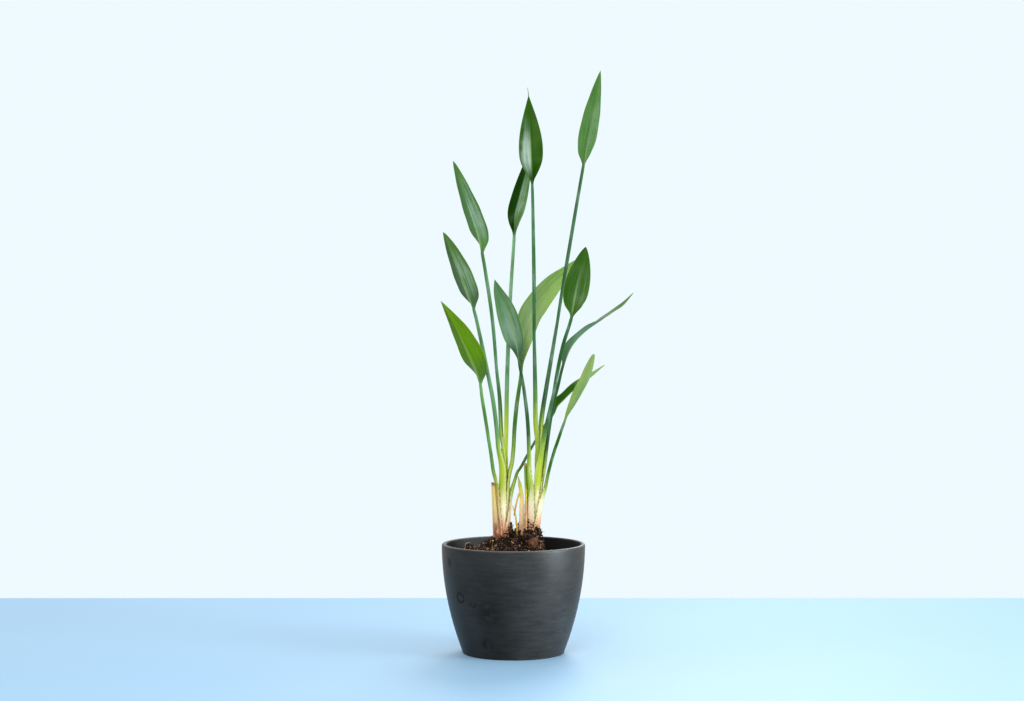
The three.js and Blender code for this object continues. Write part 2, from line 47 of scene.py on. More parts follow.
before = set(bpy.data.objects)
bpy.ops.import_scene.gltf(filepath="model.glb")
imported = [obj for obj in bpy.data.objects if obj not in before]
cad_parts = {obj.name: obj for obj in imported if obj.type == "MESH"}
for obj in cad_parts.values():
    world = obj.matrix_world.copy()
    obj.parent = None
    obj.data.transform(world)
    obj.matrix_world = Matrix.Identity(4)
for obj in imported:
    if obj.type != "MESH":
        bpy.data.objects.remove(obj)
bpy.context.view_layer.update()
BODY = "root"

MM = 0.001
RIM_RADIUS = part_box("pot")[1].x / MM
POT_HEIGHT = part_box("pot")[1].z / MM

# ---- The plant's form, in millimetres and degrees ----

# Where the inside of the pot's wall meets its floor, and the soil's edge beside it
CORNER_ROUND = 6

# Marks rubbed on the pot: degrees round from +X, height, radius, width of the soft line, and
# strength. One without a radius is a soft patch.
RUB_MARKS = [
    {"round": 219.5, "height": 84.5, "radius": 6.6, "width": 3.2, "strength": 1.0},
    {"round": 233.3, "height": 77.1, "radius": 4.0, "width": 3.0, "strength": 0.9},
    {"round": 251.2, "height": 57.9, "radius": 4.6, "width": 2.8, "strength": 0.8},
    {"round": 207.9, "height": 131.5, "radius": 3.5, "width": 4.5, "strength": 0.5},
    {"round": 242.4, "height": 21.2, "radius": 0, "width": 15, "strength": 1.0},
    {"round": 248.0, "height": 66.0, "radius": 0, "width": 30, "strength": 0.85},
]

# Soil
SEAT_GAP = 0.3
SOIL_LEVEL = 127
SOIL_EDGE_DROP = 4
SOIL_SIDES = 240
CALM_WIDTH = 5  # the soil's lumps fade out over this width beside the wall
FINE_REACH = 56  # the soil's rings are closer together within this radius
# Heaps: [x, y, height above the level, radius, steepness]
HEAPS = [
    [-15, 2, 38, 38, 2.2],
    [-60, 4, 23, 15, 2.5],
    [-38, -20, 26, 18, 2.6],
    [-4, 3, 52, 5, 4],
    [5, -1, 42, 13, 4],
    [13, 2, 58, 8, 6],
    [26, -2, 51, 16.5, 6],
    [31, -13, 34, 13, 4],
]

# The knot of old root: its middle, how far it reaches each way, and [how much, how finely] it
# swells. Its tone is that of a dry crumb.
ROOT_LUMP = [[28.5, -17, 153], [7.5, 7.5, 9.5]]
ROOT_SWELLS = [[0.28, 1.7], [0.13, 4.5], [0.15, 9], [0.09, 21]]
ROOT_TONE = 0.68

# Lumps of loose soil: [how much, over what distance, where the pattern is read]
SOIL_LUMPS = [[3.6, 10, (0, 0, 0)], [2.6, 4.5, (7, 0, 0)], [1.2, 2, (0, 11, 0)]]

# Root fibres in the soil, in metres
FIBRE_LENGTH = 0.011
FIBRE_THICKNESS = 0.00018

# Sheaths and stalks
SHEATH_LAYERS = 6.2  # a clump's radius divided by the pitch of its sheath layers
SHEATH_GAP = 0.55
SHEATH_THINNING = 0.5  # the share of its thickness that a sheath loses at its margin
CORE_LAYER = 5  # the innermost leaf is a plain stalk all the way down
STALK_GROOVE = 0.45
STALK_HOLLOW = 0.35
STALK_WRAP = 100

# How far above its opening a stalk has turned green, and how much more for each layer inwards
GREENING = 52
GREENING_STEP = 8

LEAF_GLOSS = 0.18  # how strongly a leaf reflects, where its own entry doesn't say

# Blades
NECK_FOLD = 62
UNFOLDS = 0.3  # share of a blade over which its fold opens
FLATTENS = 0.12  # share of a blade over which the stalk's round section turns flat
TIP_HALF = 0.35
MIDRIB_WIDTH = 1.3
UPPER_MIDRIB = 0.4  # how much of the midrib shows on the upper side
VEIN_SLANT = 2.6  # how far a side vein runs up the blade for each step out from the midrib
WAVE_LENGTH = 37
WAVE_SHIFT = 0.37  # how far, in waves, each leaf's margin is out of step with the last one's
NECK_CROWDING = 1.15  # above 1, faces are shorter towards the neck
MIDRIB_CROWDING = 1.25  # above 1, faces are narrower towards the midrib

# Each clump: the height of its foot, its middle line [x, y, z], its [outer radius, z], how
# strongly its foot is flushed, and how much sooner its sheaths turn from the foot's colour
# to lime, in dm of height
CLUMP_LEFT = {
    "foot": 150.3,
    "line": [[-15.5, 2, 150], [-11.8, 3, 225], [-10, 4.5, 300]],
    "radius": [[9.5, 150], [12, 205], [13.2, 250]],
    "blush": 0.5,
    "sooner": 0.0,
}
CLUMP_RIGHT = {
    "foot": 160.3,
    "line": [[26.8, -3, 160], [32.8, -3, 238], [31.5, -4, 318]],
    "radius": [[9.6, 160], [11.6, 210], [12.8, 250]],
    "blush": 0.8,
    "sooner": 0.05,
}

# the left and right colours differ by painted light and shade
# Each leaf, as in the part: its place among the sheaths, its stalk and its blade, and
# left, right, back   colours of the blade's halves, seen from the front, and of its other side
# seen                the side of the blade that faces the front
# bloom               how much pale wax, with painted sheen, lies on its left and on its right half
# glow                how much light comes through it
# Some leaves also say
# gloss               how strongly it reflects
# pale_end            how much paler its outer half is
# dim_foot            how much darker it is beside its neck
# neck_fold           how far it is folded at its neck
# bloom_and_sheen_top           the share of the blade at which the wax and its painted sheen end
# greening            how far above its opening its stalk has turned green
LEAVES = [
    {
        "node": "leaf_left_low", "clump": CLUMP_LEFT, "layer": 0, "keel": 188,
        "opens": 216, "free": 258, "wrap": [92, 46], "stalk_radius": [4.2, 2],
        "stalk": [[-30, -4, 272], [-34, -7, 297.3], [-39, -10, 328], [-44.2, -14, 360]],
        "blade": [[-45.7, -16, 373], [-50.5, -18, 388], [-62.8, -23, 417], [-79.2, -28, 453],
                  [-100.2, -34, 491]],
        "half": 22, "swell": 0.62, "point": 0.98, "fold": 33, "arch": 0.12, "faces": [232, 240],
        "left": "#577d06", "right": "#587f01", "back": "#3a6107", "stalk_tint": "#62944a",
        "seen": "under", "bloom_and_sheen": [0, 0.04], "glow": 0.2,
        "gloss": 0.08, "dim_foot": 0.6, "slot": "leaf_bright",
    },
    {
        "node": "leaf_right_crossing", "clump": CLUMP_LEFT, "layer": 1, "keel": 372,
        "opens": 206, "free": 246, "wrap": [108, 58], "stalk_radius": [3.3, 1.9],
        "stalk": [[4.5, 6, 250], [10.6, 9.5, 259.5], [19, 14.5, 275], [30.3, 19.5, 294],
                  [44.4, 24, 316.4]],
        "blade": [[56, 28, 332], [61.3, 28.5, 343], [69.8, 29, 351.5], [81, 30, 362.5],
                  [94.5, 32, 373.7], [107.9, 35, 382.7], [128.8, 40, 400.4]],
        "half": 11.5, "swell": 0.56, "point": 0.8, "fold": 34, "arch": 0.1, "faces": [342, 351],
        "left": "#285101", "right": "#315902", "back": "#3a6312", "stalk_tint": "#316121",
        "seen": "under", "bloom_and_sheen": [0, 0.05], "glow": 0,
        "gloss": 0.08, "pale_end": 0.75, "slot": "leaf_dark",
    },
    {
        "node": "leaf_left_mid", "clump": CLUMP_LEFT, "layer": 2, "keel": 196,
        "opens": 248, "free": 290, "wrap": [106, 82], "stalk_radius": [4.6, 2.1],
        "stalk": [[-21.6, -1.5, 297], [-24.4, -0.5, 325], [-28.7, 1, 354.7], [-35.2, 3, 386.8],
                  [-46.7, 6, 441.7]],
        "blade": [[-55.5, 8.5, 478.5], [-62, 10, 493.5], [-70.5, 12, 514.3], [-81.7, 15, 543.6],
                  [-98.5, 22, 587]],
        "half": 19, "swell": 0.64, "point": 0.7, "fold": 34, "arch": 0.12, "faces": [232, 238],
        "left": "#335b2a", "right": "#3c6326", "back": "#274c0f", "stalk_tint": "#5d8d5e",
        "seen": "under", "bloom_and_sheen": [0.1, 0.5], "glow": 0.12, "dim_foot": 0.7,
        "slot": "leaf_grey_green",
    },
    {
        "node": "leaf_bright_back", "clump": CLUMP_LEFT, "layer": 3, "keel": 15,
        "opens": 234, "free": 268, "wrap": [100, 78], "stalk_radius": [4.3, 2.4],
        "stalk": [[-0.6, 8.5, 282], [1.4, 10.5, 312], [4.8, 13, 345]],
        "blade": [[10.6, 16, 388], [11.7, 18, 415], [14.8, 21, 440], [23.3, 26, 471],
                  [32.2, 30, 485], [42.5, 34, 499], [57.2, 40, 516], [74.3, 46, 531.5],
                  [94.3, 54, 551.4]],
        "half": 16.5, "swell": 0.98, "point": 0.8, "fold": 10, "arch": 0.1, "faces": [84, 100],
        "left": "#6f8f46", "right": "#7d9a50", "back": "#5d8522", "stalk_tint": "#4b7a34",
        "seen": "upper", "bloom_and_sheen": [0.25, 0.3], "glow": 0.22, "slot": "leaf_bright",
    },
    {
        "node": "leaf_left_high", "clump": CLUMP_LEFT, "layer": 4, "keel": 160,
        "opens": 266, "free": 304, "wrap": [90, 112], "stalk_radius": [3.9, 2.2],
        "stalk": [[-17, 8.5, 313], [-18.9, 10, 354.6], [-22.1, 11, 386.7], [-29.3, 12, 464],
                  [-38.3, 13, 525.4]],
        "blade": [[-43.9, 13, 557.6], [-48.8, 13.5, 578.5], [-57.9, 13.5, 606.4],
                  [-69.7, 10, 641], [-83.8, 2, 685]],
        "half": 17, "swell": 0.56, "point": 0.7, "fold": 31, "arch": 0.12, "faces": [234, 240],
        "left": "#42712f", "right": "#416a2c", "back": "#2b590f", "stalk_tint": "#4c7d4f",
        "seen": "under", "bloom_and_sheen": [0.1, 0.55], "glow": 0.15, "slot": "leaf_grey_green",
    },
    {
        "node": "leaf_centre_back", "clump": CLUMP_LEFT, "layer": 5, "keel": 90,
        "opens": 286, "free": 320, "wrap": [100, 100], "stalk_radius": [3.9, 2.2],
        "stalk": [[-10, 4.5, 304], [-9.4, 9, 354.6], [-8, 13, 408], [-4.5, 18, 492]],
        "blade": [[1.1, 22, 581.6], [2, 25, 608], [8, 28, 634], [17.6, 32, 673], [27, 37, 711]],
        "half": 13, "swell": 0.6, "point": 0.85, "fold": 26, "arch": 0.12, "faces": [86, 92],
        "left": "#082c00", "right": "#4e733a", "back": "#2d5613", "stalk_tint": "#6f986d",
        "seen": "upper", "bloom_and_sheen": [0, 0.7], "glow": 0.1, "gloss": 0.06, "slot": "leaf_dark",
    },
    {
        "node": "leaf_centre_front", "clump": CLUMP_RIGHT, "layer": 0, "keel": 205,
        "opens": 220, "free": 262, "wrap": [76, 50], "stalk_radius": [4, 1.9],
        "stalk": [[21.8, -10.5, 278], [19.6, -14, 323.8], [14.6, -19, 366.5], [11.4, -22, 386]],
        "blade": [[8.1, -24, 403.5], [4.5, -26, 426], [-1.2, -27, 443.7], [-6.1, -28.5, 461.6],
                  [-13.7, -30, 485], [-21.2, -32, 504.3], [-25.9, -35, 520]],
        "half": 15.6, "swell": 0.9, "point": 0.85, "fold": 20, "arch": 0.12, "faces": [258, 264],
        "left": "#5c8352", "right": "#44683a", "back": "#2f5617", "stalk_tint": "#2b512c",
        "seen": "under", "bloom_and_sheen": [0.65, 0.35], "glow": 0.12,
        "dim_foot": 1.0, "greening": 96, "slot": "leaf_grey_green",
    },
    {
        "node": "leaf_right_low", "clump": CLUMP_RIGHT, "layer": 1, "keel": 346,
        "opens": 200, "free": 234, "wrap": [92, 62], "stalk_radius": [3.8, 1.8],
        "stalk": [[47.8, -7, 250], [56.4, -10, 281], [61.2, -12, 295]],
        "blade": [[70.4, -15, 321.4], [79.6, -16, 342.3], [90, -18, 364.5], [99.9, -20, 384],
                  [111.4, -24, 417.6]],
        "half": 7.8, "swell": 1.25, "point": 0.5, "fold": 30, "arch": 0.1, "faces": [300, 280],
        "left": "#7c984c", "right": "#759149", "back": "#567d1e", "stalk_tint": "#31611b",
        "seen": "under", "bloom_and_sheen": [0.05, 0.1], "glow": 0,
        "gloss": 0.1, "pale_end": 0.35, "slot": "leaf_bright",
    },
    {
        "node": "leaf_right_narrow", "clump": CLUMP_RIGHT, "layer": 2, "keel": 384,
        "opens": 224, "free": 260, "wrap": [104, 74], "stalk_radius": [3.8, 2],
        "stalk": [[44.2, 4, 270], [48.1, 5.5, 301.5], [55.1, 7, 344], [62.5, 8, 373]],
        "blade": [[69.5, 9, 401], [81.2, 11, 428], [98.7, 15, 447.2], [122.5, 19, 464],
                  [152.9, 26, 485], [168.7, 31, 502]],
        "half": 12.5, "swell": 0.55, "point": 0.8, "fold": 20, "arch": 0.12,
        "faces": [330, 396],
        "left": "#4c7040", "right": "#668655", "back": "#3f6a38", "stalk_tint": "#315934",
        "seen": "under", "bloom_and_sheen": [0.3, 0.55], "glow": 0,
        "gloss": 0.2, "dim_foot": 0.7, "pale_end": 0.12, "slot": "leaf_grey_green",
    },
    {
        "node": "leaf_right_round", "clump": CLUMP_RIGHT, "layer": 3, "keel": -42,
        "opens": 248, "free": 286, "wrap": [96, 84], "stalk_radius": [4, 2.2],
        "stalk": [[41.4, -10.5, 298], [47.3, -13, 324], [55.6, -19, 366.4], [59.8, -24, 388],
                  [68.2, -34, 428.5]],
        "blade": [[79.9, -44, 469], [83.6, -36, 490.5], [88.5, -22, 514], [101.1, 16, 566]],
        "half": 18.3, "swell": 0.7, "point": 0.72, "fold": 16, "arch": 0.15, "faces": [84, 78],
        "left": "#214b05", "right": "#2b5410", "back": "#345b22", "stalk_tint": "#356535",
        "seen": "upper", "bloom_and_sheen": [0.05, 0.2], "glow": 0.1, "neck_fold": 34, "slot": "leaf_dark",
    },
    {
        "node": "leaf_right_top", "clump": CLUMP_RIGHT, "layer": 4, "keel": 392,
        "opens": 270, "free": 306, "wrap": [88, 112], "stalk_radius": [4, 2],
        "stalk": [[38.5, 2, 320.6], [45.1, 3, 365.6], [52.1, 4.5, 408.3], [65.6, 6, 492],
                  [78.9, 7, 570], [89.3, 8, 631]],
        "blade": [[97.8, 8, 680], [101.1, 7, 698], [107.6, 4, 732], [120.4, -14, 809]],
        "half": 15.5, "swell": 0.66, "point": 0.85, "fold": 26, "arch": 0.12,
        "faces": [296, 290],
        "left": "#46702f", "right": "#497030", "back": "#2f5912", "stalk_tint": "#386040",
        "seen": "under", "bloom_and_sheen": [0.1, 0.22], "glow": 0.18, "neck_fold": 38,
        "slot": "leaf_grey_green",
    },
    {
        "node": "leaf_centre_top", "clump": CLUMP_RIGHT, "layer": 5, "keel": 215,
        "opens": 288, "free": 322, "wrap": [100, 100], "stalk_radius": [4, 2],
        "stalk": [[30.8, -5, 324], [30.4, -8, 366], [29.8, -9, 408.6], [28.2, -12, 533.5]],
        "blade": [[26, -14, 651], [24.7, -13.5, 680], [23.6, -8, 715], [21, 6, 777]],
        "half": 17.4, "swell": 0.72, "point": 1.0, "fold": 16, "arch": 0.12, "faces": [92, 90],
        "left": "#204a05", "right": "#194400", "back": "#33591a", "stalk_tint": "#416f48",
        "seen": "upper", "bloom_and_sheen": [0.98, 0], "glow": 0.08,
        "gloss": 0.05, "bloom_and_sheen_top": 0.74, "slot": "leaf_dark",
    },
]

# Cut sheaths: thickness, reach round and stand-off from the clump, each at foot and cut
CUT_SHEATHS = [
    {
        "node": "old_sheath_left", "clump": CLUMP_LEFT, "keel": 187, "cut": 237.5,
        "thickness": [2.6, 3.2], "wrap": [74, 34], "stand": [0.5, 3.4], "ragged": 4.0,
        "stops": [(0.0, "#a8664c"), (0.26, "#dcaa7c"), (0.6, "#f2d890"), (1.0, "#e8c670")],
        "rim": "#7c5434", "rim_sides": 0.8, "stain": 1.0,
    },
    {
        "node": "cut_stub_right", "clump": CLUMP_RIGHT, "keel": 172, "cut": 265,
        "thickness": [1.6, 5.4], "wrap": [50, 15], "stand": [0.5, 0.5], "ragged": 1.6,
        "stops": [(0.0, "#ecb890"), (0.4, "#f2cc90"), (0.58, "#dccb48"), (0.72, "#8cae14"),
                  (1.0, "#5f9420")],
        "rim": "#c08a78", "rim_sides": 0.0, "stain": 0.35,
    },
]

# Dry pieces: [x, y, z] from the foot up, with half widths at foot and top
DRY_PIECES = [
    {
        "name": "papery_sheath", "nodes": ["dry_sheath_right"], "curl": 0.35, "girth": 1.9,
        "stops": [(0.0, "#9c7650"), (0.25, "#e6c89c"), (0.6, "#eed698"), (0.8, "#cbc84a"),
                  (1.0, "#94aa34")],
        "rim": "#b08c5c", "rim_sides": 0.3, "stain": 0.5,
        "ribbons": [
            {
                "line": [[11.4, -6, 164.3], [11.6, -6, 192], [11.4, -5, 215], [9.4, -3, 231],
                         [6.6, 0.5, 246]],
                "half": [2.9, 1.1], "facing": 258,
            },
        ],
    },
    {
        "name": "dry_threads", "nodes": ["dry_strips"], "curl": 0.3, "girth": 0.95,
        "stops": [(0.0, "#a07a34"), (0.5, "#c9a23a"), (1.0, "#d8b23c")],
        "rim": "#a37c2c", "rim_sides": 0.3, "stain": 0.3,
        "ribbons": [
            {
                "line": [[6, -7, 164.3], [4.6, -7, 178], [2, -7, 196], [-2, -7, 207]],
                "half": [1.8, 1], "facing": 270,
            },
            {
                "line": [[1.2, -7, 192], [2.6, -7, 202], [5.4, -7, 214], [8.4, -7, 225]],
                "half": [1.3, 1.5], "facing": 270,
            },
        ],
    },
]
DRY_THICKNESS = 0.5

# Pale pointed margins that stand up where the sheaths open, and one leaf's dried tip, laid out
# as the dry pieces are
MEMBRANE_LOOK = {
    "curl": 0.55, "girth": 1.0, "rim": "#b6ca76", "rim_sides": 0.5, "stain": 0.0,
    "stops": [(0.0, "#86a828"), (0.45, "#8eb038"), (0.8, "#a0bc54"), (1.0, "#c0d088")],
}
MEMBRANES = [
    {
        "name": "dried_leaf_tip", "nodes": [], "rim": "#8c978a",
        "stops": [(0.0, "#6d8060"), (1.0, "#8c978a")],
        "ribbons": [
            {"line": [[21.1, 5.4, 775], [20.9, 6.3, 779], [20.2, 7.3, 783.5], [18.9, 8.4, 788.5]],
             "half": [0.8, 0.35], "facing": 270},
        ],
    },
    {
        "name": "left_sheath_margin", "nodes": [],
        "ribbons": [
            {"line": [[-15.5, -2, 230], [-15.3, -1.4, 252], [-15, 1.6, 278], [-14.6, 3.6, 301]],
             "half": [5, 1.8], "facing": 266},
        ],
    },
    {
        "name": "right_sheath_margins", "nodes": [],
        "ribbons": [
            {"line": [[33.6, -7, 262], [34.2, -8.7, 282], [34.4, -8, 300], [34.3, -7.4, 316]],
             "half": [3.4, 1.4], "facing": 274},
            {"line": [[22, -8, 218], [21.8, -12.6, 238], [21.6, -13.8, 262]],
             "half": [3.6, 1.4], "facing": 258},
        ],
    },
]

# Cut and dry pieces: faces along and across, the tear at a cut, and the ribs round a cut sheath
PIECE_STATIONS = 60
CUT_COLUMNS = 24
RIBBON_COLUMNS = 10
TEAR_FINENESS = 5.3
RIB_HEIGHT = 0.09
RIBS = 26

# Bands round the clumps that crumbs cling to: how high they rise above the foot, and the side,
# in degrees, on which they rise most. They stand off a little, and start below the foot.
COLLARS = [
    {"name": "left_collar", "clump": CLUMP_LEFT, "rise": 32, "side": 345},
    {"name": "right_collar", "clump": CLUMP_RIGHT, "rise": 27, "side": 212},
]
COLLAR_GAP = 1.0
COLLAR_START = -5

# ---- The stage, in metres ----

# The camera stands this far in front of the pot's middle, and this high
CAMERA_PLACE = (-0.002, -2.970, 0.489)
CAMERA_PITCH = 1.3
SENSOR_WIDTH = 36
TABLE_BACK = 0.545  # how far behind the pot's middle the table ends
TABLE_REACH = 4.0

# Each light: its place, what it faces, its diameter, the setting of its power, and its colour
LIGHTS = {
    "key_light": [(2.1, -1.0, 1.15), (0, 0, 0.25), 1.3, "key_power", (1.0, 0.99, 0.97)],
    "fill_light": [(-0.7, -2.9, 2.3), (0, 0, 0.35), 1.6, "fill_power", (1.0, 1.0, 1.0)],
    "low_light": [(1.9, -0.65, 0.42), (0, 0, 0.12), 0.7, "low_power", (0.78, 0.91, 1.0)],
    "back_light": [(0.5, 1.7, 1.5), (0, 0, 0.35), 1.2, "back_power", (0.95, 0.98, 1.0)],
}

# ---- Tints that the materials mix in: linear red, green, blue and opacity ----

BLACK = (0.0, 0.0, 0.0, 1.0)
WHITE = (1.0, 1.0, 1.0, 1.0)
STALK_SHADE = (0.01, 0.05, 0.004, 1.0)
STALK_WAX = (0.3, 0.42, 0.33, 1.0)
SHEATH_SHADE = (0.03, 0.04, 0.0, 1.0)
SHEATH_MARGIN = (0.5, 0.6, 0.22, 1.0)
SHEATH_SPECK = (0.15, 0.06, 0.03, 1.0)
BLADE_END = (0.32, 0.44, 0.16, 1.0)
BLADE_STREAK = (0.0, 0.012, 0.0, 1.0)
BLADE_CLOUD = (0.3, 0.4, 0.08, 1.0)
BLADE_VEIN = (0.0, 0.02, 0.0, 1.0)
BLADE_FOOT = (0.025, 0.06, 0.032, 1.0)
BLADE_MIDRIB = (0.19, 0.31, 0.13, 1.0)
BLADE_MARGIN = (0.22, 0.3, 0.08, 1.0)
BLADE_TIP = (0.36, 0.35, 0.24, 1.0)
LEAF_SHEEN = (0.8, 1.0, 0.55, 1.0)
FIBRE_SHADE = (0.08, 0.03, 0.015, 1.0)
FIBRE_STAIN = (0.17, 0.04, 0.028, 1.0)
FIBRE_SPECK = (0.1, 0.04, 0.02, 1.0)
POT_STREAK = (0.35, 0.38, 0.4, 1.0)
# Painted shade inside the pot
POT_INNER_SHADE = (0.002, 0.003, 0.0035, 1.0)
POT_RUBBED = (0.001, 0.0012, 0.0012, 1.0)
PERLITE_PIT = (0.3, 0.25, 0.2, 1.0)


# ---- Settings ----


def amount(name, description, default, **kind):
    return bpy.props.FloatProperty(
        name=name, description=description, default=default, **{"min": 0, **kind}
    )


def length(name, description, default):
    return amount(name, description, default, precision=4, unit="LENGTH")


def share(name, description, default):
    return amount(name, description, default, soft_max=1, subtype="FACTOR")


def power(name, description, default):
    return amount(name, description, default, subtype="POWER")


def count(name, description, default):
    return bpy.props.IntProperty(name=name, description=description, default=default, min=1)


def colour_of(text):
    """Linear red, green and blue of a colour written as #rrggbb."""
    parts = [int(text[i : i + 2], 16) / 255 for i in (1, 3, 5)]
    return [c / 12.92 if c <= 0.04045 else ((c + 0.055) / 1.055) ** 2.4 for c in parts]


def opaque(colour):
    return (*colour, 1.0)


def paint(text):
    return opaque(colour_of(text))


def tint(name, description, default):
    return bpy.props.FloatVectorProperty(
        name=name, description=description, default=colour_of(default), size=3, min=0, max=1,
        subtype="COLOR",
    )


class PotSettings(bpy.types.PropertyGroup):
    """Sizes and colours of the planter."""

    foot_radius: length("Foot radius", "Radius of the foot that the pot stands on", 0.0703)
    wall: length("Wall", "Thickness of the pot's wall", 0.0063)
    floor: length("Floor", "Thickness of the pot's floor", 0.008)
    lip_round: length("Lip rounding", "Radius that rounds the lip", 0.0024)
    foot_round: length("Foot rounding", "Radius that rounds the foot's edge", 0.0012)
    sides: count("Sides", "Faces round the pot", 192)
    body_colour: tint("Body", "Main colour of the moulded body", "#17140e")
    cloud_colour: tint("Clouding", "Paler colour that clouds the body", "#232322")
    lip_colour: tint("Lip", "Colour of the worn lip", "#484c4f")


class SoilSettings(bpy.types.PropertyGroup):
    """How fine the soil is, and its colours."""

    crumb_density: amount("Crumb density", "Crumbs on each square metre", 190000)
    crumb_size: length("Crumb size", "Radius of a middling crumb", 0.00088)
    lump_density: amount("Lump density", "Large lumps on each square metre", 6000)
    lump_size: length("Lump size", "Radius of a middling lump", 0.0021)
    perlite_density: amount("Perlite density", "Pale grains on each square metre", 1500)
    fibre_density: amount("Fibre density", "Root fibres on each square metre", 16000)
    clinging_density: amount(
        "Clinging crumbs", "Crumbs on each square metre of the clumps' feet", 420000
    )
    seed: count("Seed", "Seed of the scatter", 7)
    dark: tint("Dark", "Colour of moist soil", "#170f0a")
    brown: tint("Brown", "Colour of bark and drier crumbs", "#6e4c37")
    tan: tint("Tan", "Colour of the driest crumbs and fibres", "#cdb08a")
    perlite: tint("Perlite", "Colour of the pale grains", "#efe6da")


class LeafSettings(bpy.types.PropertyGroup):
    """Fineness and finish of the leaves."""

    columns: count("Columns", "Faces across each side of a leaf", 32)
    sheath_stations: count("Sheath stations", "Faces along a sheath", 56)
    stalk_stations: count("Stalk stations", "Faces along a stalk", 48)
    blade_stations: count("Blade stations", "Faces along a blade", 130)
    edge: length("Edge", "Thickness of a blade at its margin", 0.00045)
    middle: length("Middle", "Thickness of a blade beside its midrib", 0.0011)
    midrib: length("Midrib", "Height of the midrib under a blade", 0.0013)
    vein_spacing: length("Vein spacing", "Distance between raised side veins", 0.0052)
    vein_height: length("Vein height", "Height of the raised side veins", 0.00003)
    wave: length("Wave", "How far a blade's margins wave", 0.00045)
    # The pale wax colour also serves as painted sheen on the blades
    wax_and_sheen: tint("Wax", "Colour of the pale wax on the blades", "#90a394")
    foot_colour: tint("Foot", "Colour of the sheaths at the soil", "#e9b088")
    flush_colour: tint("Flush", "Colour that flushes the sheaths at the soil", "#d9836e")
    cream_colour: tint("Cream", "Colour of the sheaths above the foot", "#fff2cc")
    lime_colour: tint("Lime", "Colour of the sheaths where they open", "#b4c23c")
    green_colour: tint("Green", "Colour of the stalks above the sheaths", "#7ba238")


class StageSettings(bpy.types.PropertyGroup):
    """Table, light and lens."""

    table_colour: tint("Table", "Colour of the table", "#83aed0")
    air_colour: tint("Backdrop", "Colour of the air behind the plant", "#eefaff")
    light_colour: tint("Light", "Colour of the light all round", "#fffdf7")
    air_strength: share("Air strength", "Strength of the light all round", 0.95)
    key_power: power("Key light", "Power of the large light at the right", 37)
    fill_power: power("Fill light", "Power of the soft light at the front", 62)
    low_power: power("Low light", "Power of the light that gives the pot its sheen", 88)
    back_power: power("Back light", "Power of the light behind the leaves", 24)
    lens: amount("Lens", "Focal length of the camera", 75, min=1, subtype="DISTANCE_CAMERA")


SETTINGS = {
    "plant_pot": PotSettings,
    "plant_soil": SoilSettings,
    "plant_leaves": LeafSettings,
    "plant_stage": StageSettings,
}


# ---- Meshes ----


def add_object(name, mesh):
    piece = bpy.data.objects.new(name, mesh)
    bpy.context.scene.collection.objects.link(piece)
    return piece


def mesh_of(name, points, faces):
    """A mesh from points in millimetres."""
    mesh = bpy.data.meshes.new(name)
    mesh.from_pydata((np.asarray(points) * MM).tolist(), [], np.asarray(faces).tolist())
    mesh.validate()
    return mesh


def set_values(mesh, name, values):
    attribute = mesh.attributes.new(name, "FLOAT", "POINT")
    attribute.data.foreach_set("value", np.asarray(values, dtype=np.float32).ravel())


def smooth_except_edges(mesh, angle=40):
    mesh.shade_smooth()
    mesh.set_sharp_from_angle(angle=math.radians(angle))


def closed_bands(rows, columns, first=0):
    """Quads between rings of points that each close on themselves."""
    corner = first + np.arange(rows * columns).reshape(rows, columns)
    after = np.roll(corner, -1, axis=1)
    return corner, np.stack([corner[:-1], after[:-1], after[1:], corner[1:]], -1).reshape(-1, 4)


def belongs(piece, replaced=()):
    """The piece moves with the part and stands for the solids that it replaces."""
    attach(piece, BODY)
    if replaced:
        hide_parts(*replaced)
    return piece


def skin_faces(stations, columns):
    """Faces of a thin closed body: point (row, station, column) with row 0 outside."""
    index = np.arange(2 * stations * columns).reshape(2, stations, columns)
    outer, inner = index
    sides = [
        np.stack([outer[:-1, :-1], outer[:-1, 1:], outer[1:, 1:], outer[1:, :-1]], -1),
        np.stack([inner[:-1, :-1], inner[1:, :-1], inner[1:, 1:], inner[:-1, 1:]], -1),
    ]
    rims = [
        np.stack([outer[:-1, -1], inner[:-1, -1], inner[1:, -1], outer[1:, -1]], -1),
        np.stack([inner[:-1, 0], outer[:-1, 0], outer[1:, 0], inner[1:, 0]], -1),
        np.stack([outer[0, :-1], inner[0, :-1], inner[0, 1:], outer[0, 1:]], -1),
        np.stack([outer[-1, :-1], outer[-1, 1:], inner[-1, 1:], inner[-1, :-1]], -1),
    ]
    return np.concatenate([part.reshape(-1, 4) for part in sides + rims])


def skin_mesh(name, rows):
    """A thin closed body from rows[row, station, column] in millimetres, facing outwards."""
    _, stations, columns, _ = rows.shape
    faces = skin_faces(stations, columns)
    points = rows.reshape(-1, 3)
    a, b, c, d = (points[faces[:, k]] for k in range(4))
    if np.einsum("ij,ij->i", a, np.cross(b, c) + np.cross(c, d)).sum() < 0:
        faces = faces[:, ::-1]
    return mesh_of(name, points, faces)


# ---- Curves and sections ----


def mix(a, b, t):
    return a + (b - a) * t


def smoothstep(value, low, high):
    t = np.clip((value - low) / (high - low), 0, 1)
    return t * t * (3 - 2 * t)


def plan_direction(degrees):
    angle = np.radians(degrees)
    return np.stack([np.cos(angle), np.sin(angle), np.zeros_like(angle)], -1)


def unit(vectors):
    return vectors / np.linalg.norm(vectors, axis=-1, keepdims=True)


def spread(low, high, steps):
    return np.linspace(low, high, steps, endpoint=False)


def through(rows, column, z):
    """A smooth curve through rows, each with its height last."""
    value = 0
    for i, row in enumerate(rows):
        weight = 1
        for j, other in enumerate(rows):
            if i != j:
                weight = weight * (z - other[-1]) / (row[-1] - other[-1])
        value = value + row[column] * weight
    return value


